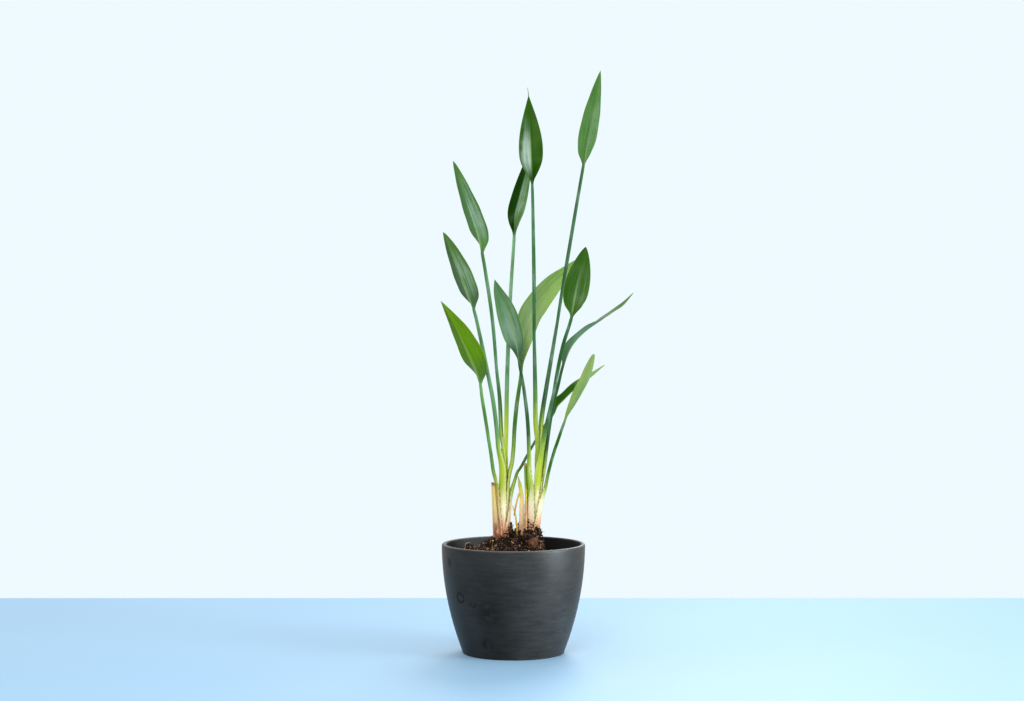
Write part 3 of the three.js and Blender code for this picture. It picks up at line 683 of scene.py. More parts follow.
class Course:
    """A smooth curve through points, read by its share of the length."""

    STEPS = 48

    def __init__(self, points):
        points = np.array(points, float)
        ends = np.vstack([2 * points[0] - points[1], points, 2 * points[-1] - points[-2]])
        places, slopes = [], []
        for knots in zip(ends, ends[1:], ends[2:], ends[3:]):
            p0, p1, p2, p3 = knots
            d0, d1, d2 = (math.sqrt(np.linalg.norm(b - a)) for a, b in zip(knots, knots[1:]))
            start = d1 * ((p1 - p0) / d0 - (p2 - p0) / (d0 + d1) + (p2 - p1) / d1)
            end = d1 * ((p2 - p1) / d1 - (p3 - p1) / (d1 + d2) + (p3 - p2) / d2)
            t = spread(0, 1, self.STEPS)[:, None]
            c2 = 3 * (p2 - p1) - 2 * start - end
            c3 = 2 * (p1 - p2) + start + end
            places.append(p1 + start * t + c2 * t**2 + c3 * t**3)
            slopes.append(start + 2 * c2 * t + 3 * c3 * t**2)
        places.append(points[-1:])
        slopes.append(end[None])
        self.places = np.vstack(places)
        self.slopes = unit(np.vstack(slopes))
        steps = np.linalg.norm(np.diff(self.places, axis=0), axis=1)
        self.reached = np.concatenate([[0], np.cumsum(steps)])
        self.length = self.reached[-1]

    def share_at(self, index):
        return self.reached[index * self.STEPS] / self.length

    def _read(self, table, shares):
        at = np.asarray(shares) * self.length
        return np.stack([np.interp(at, self.reached, table[:, k]) for k in range(3)], -1)

    def at(self, shares):
        return self._read(self.places, shares)

    def along(self, shares):
        return unit(self._read(self.slopes, shares))


def clump_point(clump, z):
    z = np.asarray(z, float)
    return np.stack([through(clump["line"], 0, z), through(clump["line"], 1, z), z], -1)


def clump_radius(clump, z):
    top, top_z = clump["radius"][-1]
    return np.where(z < top_z, through(clump["radius"], 0, z), top)


def sheath_size(leaf, z):
    radius = clump_radius(leaf["clump"], z)
    pitch = radius / SHEATH_LAYERS
    return radius - leaf["layer"] * pitch, pitch - SHEATH_GAP


def keel_point(leaf, z):
    """The middle of a sheath's back at a height."""
    outer, thickness = sheath_size(leaf, z)
    reach = np.zeros_like(outer) if leaf["layer"] == CORE_LAYER else outer - thickness / 2
    return clump_point(leaf["clump"], z) + reach[..., None] * plan_direction(leaf["keel"])


def sheath_pair(t, outer, thickness, wrap):
    """Outwards and across of a shell round the clump's middle line, outside and inside."""
    angle = t * wrap
    inner = outer - thickness * (1 - SHEATH_THINNING * t * t)
    keel = outer - thickness / 2
    return np.stack([
        np.stack([r * np.cos(angle) - keel, r * np.sin(angle)], -1) for r in (outer, inner)
    ])


def stalk_pair(t, radius):
    """A round stalk with a shallow groove on its inside."""
    edge = math.radians(STALK_WRAP)
    groove = radius * (math.cos(edge) + STALK_GROOVE * (1 - t * t) - STALK_HOLLOW)
    outside = [radius * np.cos(t * edge), radius * np.sin(t * edge)]
    inside = [groove + 0 * t, radius * math.sin(edge) * t]
    return np.stack([np.stack(pair, -1) for pair in (outside, inside)])


def blade_pair(t, half, fold, leaf, size, relief):
    """A blade folded along its midrib and arched back at its margins."""
    reach = np.abs(t)
    across = half * t * np.cos(fold)
    middle = -half * reach * np.sin(fold) + leaf["arch"] * half * reach**2 + relief
    thickness = mix(size["middle"], size["edge"], reach**0.6)
    ridge = size["midrib"] * np.exp(-((half * t / MIDRIB_WIDTH) ** 2))
    under = middle + thickness / 2 + ridge
    upper = middle - thickness / 2 + UPPER_MIDRIB * ridge
    return np.stack([np.stack([under, across], -1), np.stack([upper, across], -1)])


def leaf_course(leaf):
    clump = leaf["clump"]
    heights = np.array([clump["foot"], mix(clump["foot"], leaf["opens"], 0.5), leaf["opens"]])
    course = Course([*keel_point(leaf, heights), *leaf["stalk"], *leaf["blade"]])
    stalk_at = course.share_at(len(heights))
    blade_at = course.share_at(len(heights) + len(leaf["stalk"]))
    return course, stalk_at, blade_at


def leaf_rows(leaf, number, settings):
    """Points [row, station, column] of a leaf, with what its material reads at each."""
    course, stalk_at, blade_at = leaf_course(leaf)
    shares = np.concatenate([
        spread(0, stalk_at, settings.sheath_stations),
        spread(stalk_at, blade_at, settings.stalk_stations),
        mix(blade_at, 1, spread(0, 1, settings.blade_stations) ** NECK_CROWDING),
        [1],
    ])
    point = course.at(shares)
    z = point[:, 2]
    core = leaf["layer"] == CORE_LAYER
    held = np.zeros_like(z) if core else 1 - smoothstep(z, leaf["opens"], leaf["free"])
    centre = mix(point, keel_point(leaf, z), held[:, None])
    up = np.array([0.0, 0.0, 1.0])
    along = unit(mix(course.along(shares), up, held[:, None]))

    blade_share = np.clip((shares - blade_at) / (1 - blade_at), 0, 1)
    faces = mix(leaf["faces"][0], leaf["faces"][1], blade_share)
    out = plan_direction(mix(leaf["keel"], faces, smoothstep(shares, stalk_at, blade_at)))
    out = unit(out - np.sum(out * along, -1, keepdims=True) * along)
    side = np.cross(along, out)

    outer, thickness = sheath_size(leaf, z)
    foot = leaf["clump"]["foot"]
    unwrapped = np.clip((z - foot) / (leaf["opens"] - foot), 0, 1)
    wrap = np.radians(mix(leaf["wrap"][0], leaf["wrap"][1], unwrapped))
    low, high = leaf["stalk_radius"]
    radius = mix(low, high, np.clip(shares / blade_at, 0, 1))
    if core:
        leaves = smoothstep(z, leaf["opens"], leaf["free"])
        radius = mix(np.minimum(radius, outer), radius, leaves)

    size = {name: getattr(settings, name) / MM for name in ("middle", "edge", "midrib")}
    size["midrib"] = (size["midrib"] * (1 - blade_share) ** 1.5)[:, None]
    swelling = np.sin(math.pi * blade_share ** leaf["swell"]) ** leaf["point"]
    half = np.maximum(TIP_HALF, np.hypot(radius * (1 - blade_share), leaf["half"] * swelling))
    unfolded = smoothstep(blade_share, 0, UNFOLDS)
    fold = np.radians(mix(leaf.get("neck_fold", NECK_FOLD), leaf["fold"], unfolded))
    flat = smoothstep(shares, blade_at - 0.01, mix(blade_at, 1, FLATTENS))

    even = np.linspace(-1, 1, settings.columns + 1)
    leaning = np.sign(even) * np.abs(even) ** MIDRIB_CROWDING
    blade_length = (1 - blade_at) * course.length
    run = blade_share * blade_length
    vein = run[:, None] - VEIN_SLANT * half[:, None] * np.abs(leaning) ** 0.8
    spacing = settings.vein_spacing / MM
    fading = (np.clip(swelling, 0, 1) ** 0.5)[:, None] * (1 - np.abs(leaning)) ** 0.3
    relief = settings.vein_height / MM * np.cos(2 * math.pi * vein / spacing) * fading
    turns = run[:, None] / WAVE_LENGTH + WAVE_SHIFT * number + 0.5 * (leaning > 0)
    waving = np.sin(2 * math.pi * turns) * swelling[:, None]
    relief = relief + settings.wave / MM * np.abs(leaning) ** 2.5 * waving

    greening = leaf.get("greening", GREENING + GREENING_STEP * leaf["layer"])

    def column(values):
        return np.asarray(values)[:, None]

    pairs = stalk_pair(even[None, :], column(radius))
    rolled = sheath_pair(even[None, :], column(outer), column(thickness), column(wrap))
    pairs = mix(pairs, rolled, held[None, :, None, None])
    spread_out = blade_pair(leaning[None, :], column(half), column(fold), leaf, size, relief)
    pairs = mix(pairs, spread_out, flat[None, :, None, None])
    rows = (
        centre[None, :, None, :]
        + pairs[..., :1] * out[None, :, None, :]
        + pairs[..., 1:] * side[None, :, None, :]
    )
    grid = np.ones((2, len(shares), len(even)))
    marks = {
        "rise": grid * column((z - foot) / 100 + leaf["clump"]["sooner"]),
        "out": grid * column((z - leaf["opens"]) / greening),
        "blade": grid * column((shares - blade_at) / (1 - blade_at)),
        "across": grid * even[None, :],
        "upper_side": grid * np.array([0.0, 1.0])[:, None, None],
        "vein": grid * vein,
    }
    return rows, marks


def make_leaf(leaf, number, settings):
    rows, marks = leaf_rows(leaf, number, settings)
    name = "fine_" + leaf["node"]
    mesh = skin_mesh(name, rows)
    for mark, values in marks.items():
        set_values(mesh, mark, values)
    smooth_except_edges(mesh, 50)
    mesh.materials.append(leaf_material(leaf, number, settings))
    return belongs(add_object(name, mesh), [leaf["node"]])


# ---- Cut and dry pieces ----


def make_cut_sheath(sheath, number):
    clump, keel = sheath["clump"], sheath["keel"]
    out = plan_direction(keel)
    side = np.cross([0, 0, 1], out)
    t = np.linspace(-1, 1, CUT_COLUMNS + 1)[None, :]
    tear = np.array([noise.noise(Vector((x * TEAR_FINENESS, number * 5.0, 0))) for x in t[0]])
    top = sheath["cut"] - sheath["ragged"] * np.clip(0.5 + 1.2 * tear, 0, 1)
    part = np.linspace(0, 1, PIECE_STATIONS + 1)[:, None]
    z = mix(clump["foot"], top[None, :], part)
    thick = mix(*sheath["thickness"], part)
    outer = clump_radius(clump, z) + mix(*sheath["stand"], part) + thick
    wrap = np.radians(mix(*sheath["wrap"], part))
    ribs = RIB_HEIGHT * np.sin(t * RIBS + 2 * np.sin(part * 5))
    pair = sheath_pair(t, outer + ribs, thick, wrap)
    axis = clump_point(clump, z)
    reach = outer - thick / 2
    rows = (
        axis[None]
        + (reach[None, ..., None] + pair[..., :1]) * out
        + pair[..., 1:] * side
    )
    name = "fine_" + sheath["node"]
    mesh = skin_mesh(name, rows)
    set_values(mesh, "share", np.ones((2, 1, 1)) * part * np.ones_like(z))
    set_values(mesh, "across", np.ones((2, 1, 1)) * t * np.ones_like(z))
    smooth_except_edges(mesh)
    mesh.materials.append(fibrous_material(name, sheath))
    return belongs(add_object(name, mesh), [sheath["node"]])


def ribbon_rows(ribbon, curl, girth):
    """Points of a curled strip with frayed margins. Girth says how wide it is for its table."""
    course = Course(ribbon["line"])
    shares = np.linspace(0, 1, PIECE_STATIONS + 1)
    along = course.along(shares)
    out = plan_direction(ribbon["facing"]) + 0.5 * np.sin(5 * shares)[:, None] * along
    side = unit(np.cross(along, out))
    facing = np.cross(side, along)
    t = np.linspace(-1, 1, RIBBON_COLUMNS + 1)[None, :]
    coarse = [noise.noise(Vector((9 * at, ribbon["facing"], 0))) for at in shares]
    fine = [noise.noise(Vector((31 * at, 0, ribbon["facing"]))) for at in shares]
    torn = np.array(coarse) + 0.5 * np.array(fine)
    frayed = girth * (0.9 + 0.22 * np.clip(torn, -1, 0.45))
    tapering = np.minimum(1, 0.25 + 6 * (1 - shares))
    width = (mix(*ribbon["half"], shares) * frayed * tapering)[:, None]
    bow = -curl * width * t**2
    rows = []
    for lift in (DRY_THICKNESS / 2, -DRY_THICKNESS / 2):
        place = course.at(shares)[:, None, :] + (bow + lift)[..., None] * facing[:, None, :]
        rows.append(place + (width * t)[..., None] * side[:, None, :])
    return np.stack(rows)


def make_dry_piece(dry):
    points, faces, rise, across = [], [], [], []
    for ribbon in dry["ribbons"]:
        rows = ribbon_rows(ribbon, dry["curl"], dry["girth"])
        _, stations, columns, _ = rows.shape
        faces.append(skin_faces(stations, columns)[:, ::-1] + sum(len(p) for p in points))
        points.append(rows.reshape(-1, 3))
        grid = np.ones((2, stations, columns))
        rise.append((grid * np.linspace(0, 1, stations)[:, None]).ravel())
        across.append((grid * np.linspace(-1, 1, columns)).ravel())
    name = dry["name"]
    mesh = mesh_of(name, np.concatenate(points), np.concatenate(faces))
    set_values(mesh, "share", np.concatenate(rise))
    set_values(mesh, "across", np.concatenate(across))
    smooth_except_edges(mesh)
    mesh.materials.append(fibrous_material(name, dry))
    return belongs(add_object(name, mesh), dry["nodes"])


# ---- Nodes ----


class Wiring:
    """Adds nodes to a tree. Most methods give the socket that the next node reads."""

    def __init__(self, tree):
        self.tree = tree

    def node(self, kind, inputs=None, **settings):
        node = self.tree.nodes.new(kind)
        for name, value in settings.items():
            setattr(node, name, value)
        for socket, value in (inputs or {}).items():
            self.feed(node.inputs[socket], value)
        return node

    def feed(self, socket, value):
        if isinstance(value, bpy.types.NodeSocket):
            self.tree.links.new(value, socket)
        else:
            socket.default_value = value

    def maths(self, operation, *values):
        node = self.node("ShaderNodeMath", dict(enumerate(values)), operation=operation)
        return node.outputs[0]

    def times(self, first, *others):
        for other in others:
            first = self.maths("MULTIPLY", first, other)
        return first

    def plus(self, first, second):
        return self.maths("ADD", first, second)

    def minus(self, first, second):
        return self.maths("SUBTRACT", first, second)

    def times_plus(self, value, factor, more):
        return self.maths("MULTIPLY_ADD", value, factor, more)

    def vector_maths(self, operation, *values, output=0):
        node = self.node("ShaderNodeVectorMath", dict(enumerate(values)), operation=operation)
        return node.outputs[output]

    def scaled(self, vector, size):
        inputs = {0: vector, "Scale": size}
        return self.node("ShaderNodeVectorMath", inputs, operation="SCALE").outputs[0]

    def stretched(self, place, scale):
        return self.node("ShaderNodeMapping", {"Vector": place, "Scale": scale}).outputs[0]

    def vector(self, x, y, z):
        return self.node("ShaderNodeCombineXYZ", {0: x, 1: y, 2: z}).outputs[0]

    def smooth(self, value, low, high):
        """0 at low, 1 at high, with soft ends."""
        node = self.node(
            "ShaderNodeMapRange", {"Value": value, "From Min": low, "From Max": high},
            interpolation_type="SMOOTHSTEP",
        )
        return node.outputs["Result"]

    def blend(self, factor, first, second):
        node = self.node("ShaderNodeMix", {0: factor, 6: first, 7: second}, data_type="RGBA")
        return node.outputs[2]

    def cover(self, colour, over, *amounts):
        """The colour, covered by another as far as the product of the amounts says."""
        return self.blend(self.times(*amounts), colour, over)

    def shade_lows(self, colour, shade, kept, value, low, high):
        """The colour, shaded where the value is low. Kept is the share of it that is left."""
        return self.blend(self.smooth(value, low, high), self.blend(kept, shade, colour), colour)

    def between(self, factor, first, second):
        node = self.node("ShaderNodeMix", {0: factor, 2: first, 3: second}, data_type="FLOAT")
        return node.outputs[0]

    def noise(self, vector, scale, detail=2.0, roughness=0.5):
        node = self.node(
            "ShaderNodeTexNoise",
            {"Vector": vector, "Scale": scale, "Detail": detail, "Roughness": roughness},
        )
        return node.outputs["Fac"]

    def ramp(self, value, stops):
        node = self.node("ShaderNodeValToRGB", {0: value})
        elements = node.color_ramp.elements
        while len(elements) < len(stops):
            elements.new(0.5)
        for element, (place, colour) in zip(elements, stops):
            element.position = place
            element.color = colour
        return node.outputs[0]

    def attribute(self, name):
        return self.node("ShaderNodeAttribute", attribute_name=name).outputs["Fac"]

    def own_place(self):
        return self.node("ShaderNodeTexCoord").outputs["Object"]


def new_group(name, inputs, outputs, kind="ShaderNodeTree"):
    """A node group with named sockets: its wiring, its input node and its output node.

    A socket's entry is its kind, or the number that it starts with.
    """
    tree = bpy.data.node_groups.new(name, kind)
    for in_out, entries in (("INPUT", inputs), ("OUTPUT", outputs)):
        for label, entry in entries.items():
            socket = {float: "Float", int: "Int"}.get(type(entry), entry)
            made = tree.interface.new_socket(
                label, in_out=in_out, socket_type="NodeSocket" + socket
            )
            if entry != socket:
                made.default_value = entry
    wiring = Wiring(tree)
    return wiring, wiring.node("NodeGroupInput").outputs, wiring.node("NodeGroupOutput").inputs


def new_geometry_tree(name, inputs):
    """A geometry tree that takes a carrier and a material, and gives the finished geometry."""
    inputs = {"Geometry": "Geometry", **inputs, "Finish": "Material"}
    return new_group(name, inputs, {"Geometry": "Geometry"}, "GeometryNodeTree")


def new_material(name):
    """A material's wiring and its surface shader."""
    material = bpy.data.materials.new(name)
    material.use_nodes = True
    wiring = Wiring(material.node_tree)
    return material, wiring, material.node_tree.nodes["Principled BSDF"]


def use_group(wiring, name, build, inputs):
    """Adds a group's node. The group is built when it is first used."""
    group = bpy.data.node_groups.get(name) or build(name)
    node = wiring.node("ShaderNodeGroup", node_tree=group)
    for label, value in inputs.items():
        wiring.feed(node.inputs[label], value)
    return node.outputs


def bump(wiring, height, strength, distance):
    node = wiring.node(
        "ShaderNodeBump", {"Height": height, "Strength": strength, "Distance": distance}
    )
    return node.outputs["Normal"]


def dress(wiring, surface, colour, roughness, normal):
    for name, value in (("Base Color", colour), ("Roughness", roughness), ("Normal", normal)):
        wiring.feed(surface.inputs[name], value)


# ---- Materials of the plant ----


def build_fibre_group(name):
    """Fine streaks that run along a piece: Across is the place over its width."""
    wiring, taken, given = new_group(
        name,
        {"Place": "Vector", "Across": 0.0, "Fineness": 9.0, "Length": 30.0},
        {"Streaks": "Float", "Specks": "Float"},
    )
    height = wiring.node("ShaderNodeSeparateXYZ", {0: taken["Place"]}).outputs[2]
    over = wiring.times(taken["Across"], taken["Fineness"])
    up = wiring.times(height, taken["Length"])
    place = wiring.vector(over, up, 0.0)
    wiring.feed(given["Streaks"], wiring.noise(place, 1.0, 4.0, 0.6))
    spots = wiring.noise(taken["Place"], 420.0, 3.0, 0.6)
    wiring.feed(given["Specks"], wiring.smooth(spots, 0.62, 0.7))
    return wiring.tree


def build_sheath_group(name):
    """Colour and roughness of a sheath and its stalk. Rise is the height above its foot, in dm."""
    wiring, taken, given = new_group(
        name,
        {"Rise": 0.0, "Out": 0.0, "Across": 0.0, "Place": "Vector", "Foot": "Color",
         "Flush": "Color", "Cream": "Color", "Lime": "Color", "Green": "Color", "Stalk": "Color",
         "Streaks": 0.5, "Specks": 0.0, "Blush": 0.6},
        {"Color": "Color", "Roughness": "Float"},
    )
    place, height, streaks = taken["Place"], taken["Rise"], taken["Streaks"]
    cloud = wiring.noise(place, 60.0, 3.0)
    drift = wiring.times_plus(cloud, 0.3, -0.15)
    drift = wiring.plus(drift, wiring.times_plus(streaks, 0.4, -0.2))
    rise = wiring.plus(height, drift)
    out = wiring.plus(taken["Out"], drift)
    colour = taken["Foot"]
    for reached, low, high, next_colour in (
        (rise, 0.18, 0.46, "Cream"), (rise, 0.5, 0.86, "Lime"),
        (out, 0.1, 0.75, "Green"), (out, 0.4, 1.05, "Stalk"),
    ):
        colour = wiring.cover(colour, taken[next_colour], wiring.smooth(reached, low, high))

    tone = wiring.noise(wiring.stretched(place, (1.0, 1.0, 0.3)), 75.0, 3.0)
    grown = wiring.smooth(out, 0.5, 1.2)
    colour = wiring.cover(colour, STALK_SHADE, grown, wiring.smooth(tone, 0.5, 0.36), 0.45)
    colour = wiring.cover(colour, STALK_WAX, grown, wiring.smooth(tone, 0.5, 0.66), 0.35)
    colour = wiring.shade_lows(colour, SHEATH_SHADE, 0.78, streaks, 0.28, 0.62)
    colour = wiring.cover(
        colour, taken["Flush"],
        wiring.smooth(streaks, 0.45, 0.62), wiring.smooth(height, 0.62, 0.1), taken["Blush"],
    )

    reach = wiring.maths("ABSOLUTE", taken["Across"])
    opening = wiring.smooth(out, -0.7, -0.2)
    opened = wiring.smooth(out, 0.95, 0.35)
    papery = wiring.smooth(reach, 0.62, 0.92)
    colour = wiring.cover(colour, SHEATH_MARGIN, papery, opening, opened, 0.55)
    dots = wiring.smooth(wiring.noise(place, 380.0, 3.0, 0.7), 0.42, 0.56)
    edge = wiring.smooth(reach, 0.9, 0.97)
    colour = wiring.cover(
        colour, SHEATH_SPECK, edge, wiring.smooth(height, 1.4, 0.8), dots, 0.85
    )
    colour = wiring.cover(
        colour, SHEATH_SPECK, taken["Specks"], wiring.smooth(height, 1.1, 0.5), 0.6
    )
    wiring.feed(given["Color"], colour)
    wiring.feed(given["Roughness"], wiring.between(streaks, 0.34, 0.52))
    return wiring.tree


def build_blade_group(name):
    """Colour, roughness and height of a blade, from the marks on its mesh."""
    wiring, taken, given = new_group(
        name,
        {"Place": "Vector", "Across": 0.0, "Blade": 0.0, "Vein": 0.0, "Turned Away": 0.0,
         "Upper Side": 0.0, "Low Half": "Color", "High Half": "Color", "Back": "Color",
         "Wax": "Color", "Low Bloom": 0.0, "High Bloom": 0.0, "Pale End": 0.0, "Dim Foot": 0.0,
         "Bloom Top": 0.9, "Seed": 0.0},
        {"Color": "Color", "Roughness": "Float", "Height": "Float"},
    )
    across, blade, seed = taken["Across"], taken["Blade"], taken["Seed"]
    reach = wiring.maths("ABSOLUTE", across)
    long_place = wiring.vector(wiring.times(across, 4.2), blade, seed)
    streaks = wiring.noise(long_place, 1.7, 4.0, 0.6)
    vein_place = wiring.vector(taken["Vein"], wiring.times(across, 0.8), seed)
    veins = wiring.noise(vein_place, 0.85, 2.0, 0.6)
    cloud = wiring.noise(taken["Place"], 24.0, 3.0)

    # Painted light and shade: each half of the fold has its own colour, as if lit differently
    half = wiring.smooth(across, -0.05, 0.05)
    colour = wiring.blend(half, taken["Low Half"], taken["High Half"])
    colour = wiring.cover(colour, taken["Back"], taken["Turned Away"])
    colour = wiring.cover(colour, BLADE_END, wiring.smooth(blade, 0.45, 0.7), taken["Pale End"])
    colour = wiring.shade_lows(colour, BLADE_STREAK, 0.8, streaks, 0.3, 0.6)
    colour = wiring.cover(colour, BLADE_CLOUD, wiring.smooth(cloud, 0.45, 0.75), 0.06)
    colour = wiring.shade_lows(colour, BLADE_VEIN, 0.92, veins, 0.36, 0.52)

    # Pale wax in streaky patches, which also stands for painted sheen: reflections painted in the
    # wax colour
    bloom_and_sheen_amount = wiring.between(half, taken["Low Bloom"], taken["High Bloom"])
    patches = wiring.times_plus(streaks, 0.7, wiring.times(cloud, 0.5))
    patches = wiring.smooth(patches, 0.46, 0.7)
    inland = wiring.smooth(wiring.minus(1.0, reach), 0.0, 0.25)
    top = wiring.times_plus(across, 0.12, taken["Bloom Top"])
    fading = wiring.smooth(blade, top, wiring.minus(top, 0.48))
    starting = wiring.smooth(blade, 0.05, 0.26)
    bloom_and_sheen = wiring.times(bloom_and_sheen_amount, patches, fading, starting, inland)
    colour = wiring.cover(colour, taken["Wax"], bloom_and_sheen)
    colour = wiring.cover(colour, BLADE_FOOT, wiring.smooth(blade, 0.34, 0.04), taken["Dim Foot"])

    rib_width = wiring.times_plus(blade, -0.17, 0.24)
    rib = wiring.smooth(reach, rib_width, wiring.times(rib_width, 0.5))
    colour = wiring.cover(colour, BLADE_MIDRIB, rib, wiring.smooth(blade, 0.85, 0.1), 0.5)
    colour = wiring.cover(colour, BLADE_MARGIN, wiring.smooth(reach, 0.955, 0.99), 0.4)
    tip = wiring.smooth(blade, 0.975, 1.0)
    colour = wiring.cover(colour, BLADE_TIP, tip, wiring.smooth(cloud, 0.35, 0.6))
    wiring.feed(given["Color"], colour)

    satin = wiring.between(taken["Upper Side"], 0.4, 0.24)
    dusty = wiring.times_plus(bloom_and_sheen, 0.15, satin)
    wiring.feed(given["Roughness"], wiring.times_plus(streaks, 0.12, dusty))
    wiring.feed(given["Height"], wiring.times_plus(veins, 0.5, streaks))
    return wiring.tree


def sheath_finish(wiring, settings, leaf, fibres, place, across):
    colours = {
        label: opaque(getattr(settings, label.lower() + "_colour"))
        for label in ("Foot", "Flush", "Cream", "Lime", "Green")
    }
    return use_group(
        wiring, "Sheath finish", build_sheath_group,
        {
            "Rise": wiring.attribute("rise"), "Out": wiring.attribute("out"),
            "Across": across, "Place": place, "Stalk": paint(leaf["stalk_tint"]), **colours,
            "Streaks": fibres["Streaks"], "Specks": fibres["Specks"],
            "Blush": leaf["clump"]["blush"],
        },
    )


def leaf_material(leaf, number, settings):
    material, wiring, surface = new_material(leaf["node"])
    place = wiring.own_place()
    across = wiring.attribute("across")
    blade = wiring.attribute("blade")
    upper_side = wiring.attribute("upper_side")
    fibres = use_group(
        wiring, "Fibre streaks", build_fibre_group, {"Place": place, "Across": across}
    )
    sheath = sheath_finish(wiring, settings, leaf, fibres, place, across)
    turned = upper_side
    halves, bloom_and_sheen = [leaf["left"], leaf["right"]], leaf["bloom_and_sheen"]
    if leaf["seen"] == "upper":
        turned = wiring.minus(1.0, upper_side)
        halves, bloom_and_sheen = halves[::-1], bloom_and_sheen[::-1]
    spread_out = use_group(
        wiring, "Blade finish", build_blade_group,
        {
            "Place": place, "Across": across, "Blade": blade, "Vein": wiring.attribute("vein"),
            "Turned Away": turned, "Upper Side": upper_side,
            "Low Half": paint(halves[0]), "High Half": paint(halves[1]),
            "Back": paint(leaf["back"]), "Wax": opaque(settings.wax_and_sheen),
            "Low Bloom": bloom_and_sheen[0], "High Bloom": bloom_and_sheen[1],
            "Pale End": leaf.get("pale_end", 0), "Dim Foot": leaf.get("dim_foot", 0),
            "Bloom Top": leaf.get("bloom_and_sheen_top", 0.9), "Seed": 7.3 * number,
        },
    )
    open_share = wiring.smooth(blade, -0.03, 0.08)
    height = wiring.between(open_share, fibres["Streaks"], spread_out["Height"])
    dress(
        wiring, surface,
        wiring.blend(open_share, sheath["Color"], spread_out["Color"]),
        wiring.between(open_share, sheath["Roughness"], spread_out["Roughness"]),
        bump(wiring, height, 0.2, 0.0003),
    )
    surface.inputs["Specular IOR Level"].default_value = leaf.get("gloss", LEAF_GLOSS)
    surface.inputs["Specular Tint"].default_value = LEAF_SHEEN
    surface.inputs["Subsurface Weight"].default_value = leaf["glow"]
    surface.inputs["Subsurface Radius"].default_value = (0.6, 1.0, 0.2)
    surface.inputs["Subsurface Scale"].default_value = 0.0015
    return material


def fibrous_material(name, look):
    """Old plant fibre: streaked, stained brown low down, with a darker torn edge."""
    material, wiring, surface = new_material(name)
    place = wiring.own_place()
    across = wiring.attribute("across")
    rise = wiring.attribute("share")
    fibres = use_group(
        wiring, "Fibre streaks", build_fibre_group,
        {"Place": place, "Across": across, "Fineness": 6.0, "Length": 18.0},
    )
    streaks = fibres["Streaks"]
    cloud = wiring.noise(place, 85.0, 3.0)
    drifted = wiring.plus(rise, wiring.times_plus(cloud, 0.24, -0.12))
    colour = wiring.ramp(drifted, [(at, paint(code)) for at, code in look["stops"]])
    colour = wiring.shade_lows(colour, FIBRE_SHADE, 0.62, streaks, 0.34, 0.5)
    towards = wiring.times_plus(wiring.smooth(across, -0.1, 0.7), 0.7, 0.3)
    colour = wiring.cover(
        colour, FIBRE_STAIN,
        wiring.smooth(cloud, 0.42, 0.55), wiring.smooth(rise, 0.62, 0.12), towards, look["stain"],
    )
    sides = wiring.smooth(wiring.maths("ABSOLUTE", across), 0.86, 0.97)
    sides = wiring.times(sides, look["rim_sides"])
    ends = wiring.maths("MAXIMUM", sides, wiring.smooth(rise, 0.965, 0.99))
    colour = wiring.cover(colour, paint(look["rim"]), ends)
    colour = wiring.cover(colour, FIBRE_SPECK, fibres["Specks"], 0.6)
    normal = bump(wiring, streaks, 0.5, 0.0005)
    dress(wiring, surface, colour, wiring.between(streaks, 0.5, 0.8), normal)
    surface.inputs["Specular IOR Level"].default_value = 0.2
    surface.inputs["Subsurface Weight"].default_value = 0.12
    surface.inputs["Subsurface Scale"].default_value = 0.002
    return material


# ---- Pot ----


def pot_radius(z, foot_radius):
    """The wall curves in towards the foot as a parabola."""
    return RIM_RADIUS - (RIM_RADIUS - foot_radius) * (1 - z / POT_HEIGHT) ** 2


def arc(centre, radius, start, end, steps):
    angles = np.radians(np.linspace(start, end, steps))
    return [(centre[0] + radius * math.cos(a), centre[1] + radius * math.sin(a)) for a in angles]


def pot_profile(settings):
    """Outline of the pot's wall in the plane y = 0, from the foot's middle round to the floor's."""
    foot_radius, wall = settings.foot_radius / MM, settings.wall / MM
    floor, lip = settings.floor / MM, settings.lip_round / MM
    foot = settings.foot_round / MM
    top = POT_HEIGHT - lip
    low = pot_radius(foot, foot_radius)
    outside = [(pot_radius(z, foot_radius), z) for z in np.linspace(foot, top, 60)]
    edge = pot_radius(top, foot_radius)
    outer_lip = arc((edge - lip, top), lip, 0, 90, 9)
    inner_lip = arc((edge - wall + lip, top), lip, 90, 180, 9)
    inside_foot = floor + CORNER_ROUND
    inside = [(pot_radius(z, foot_radius) - wall, z) for z in np.linspace(top, inside_foot, 40)]
    floor_edge = inside[-1][0] - CORNER_ROUND
    corner = arc((floor_edge, inside_foot), CORNER_ROUND, 0, -90, 8)
    rounding = arc((low - foot, foot), foot, -90, 0, 6)
    profile = [(0, 0), *rounding, *outside[1:], *outer_lip[1:], *inner_lip]
    profile += [*inside[1:], *corner[1:], (0, floor)]
    return [(x * MM, 0.0, z * MM) for x, z in profile]


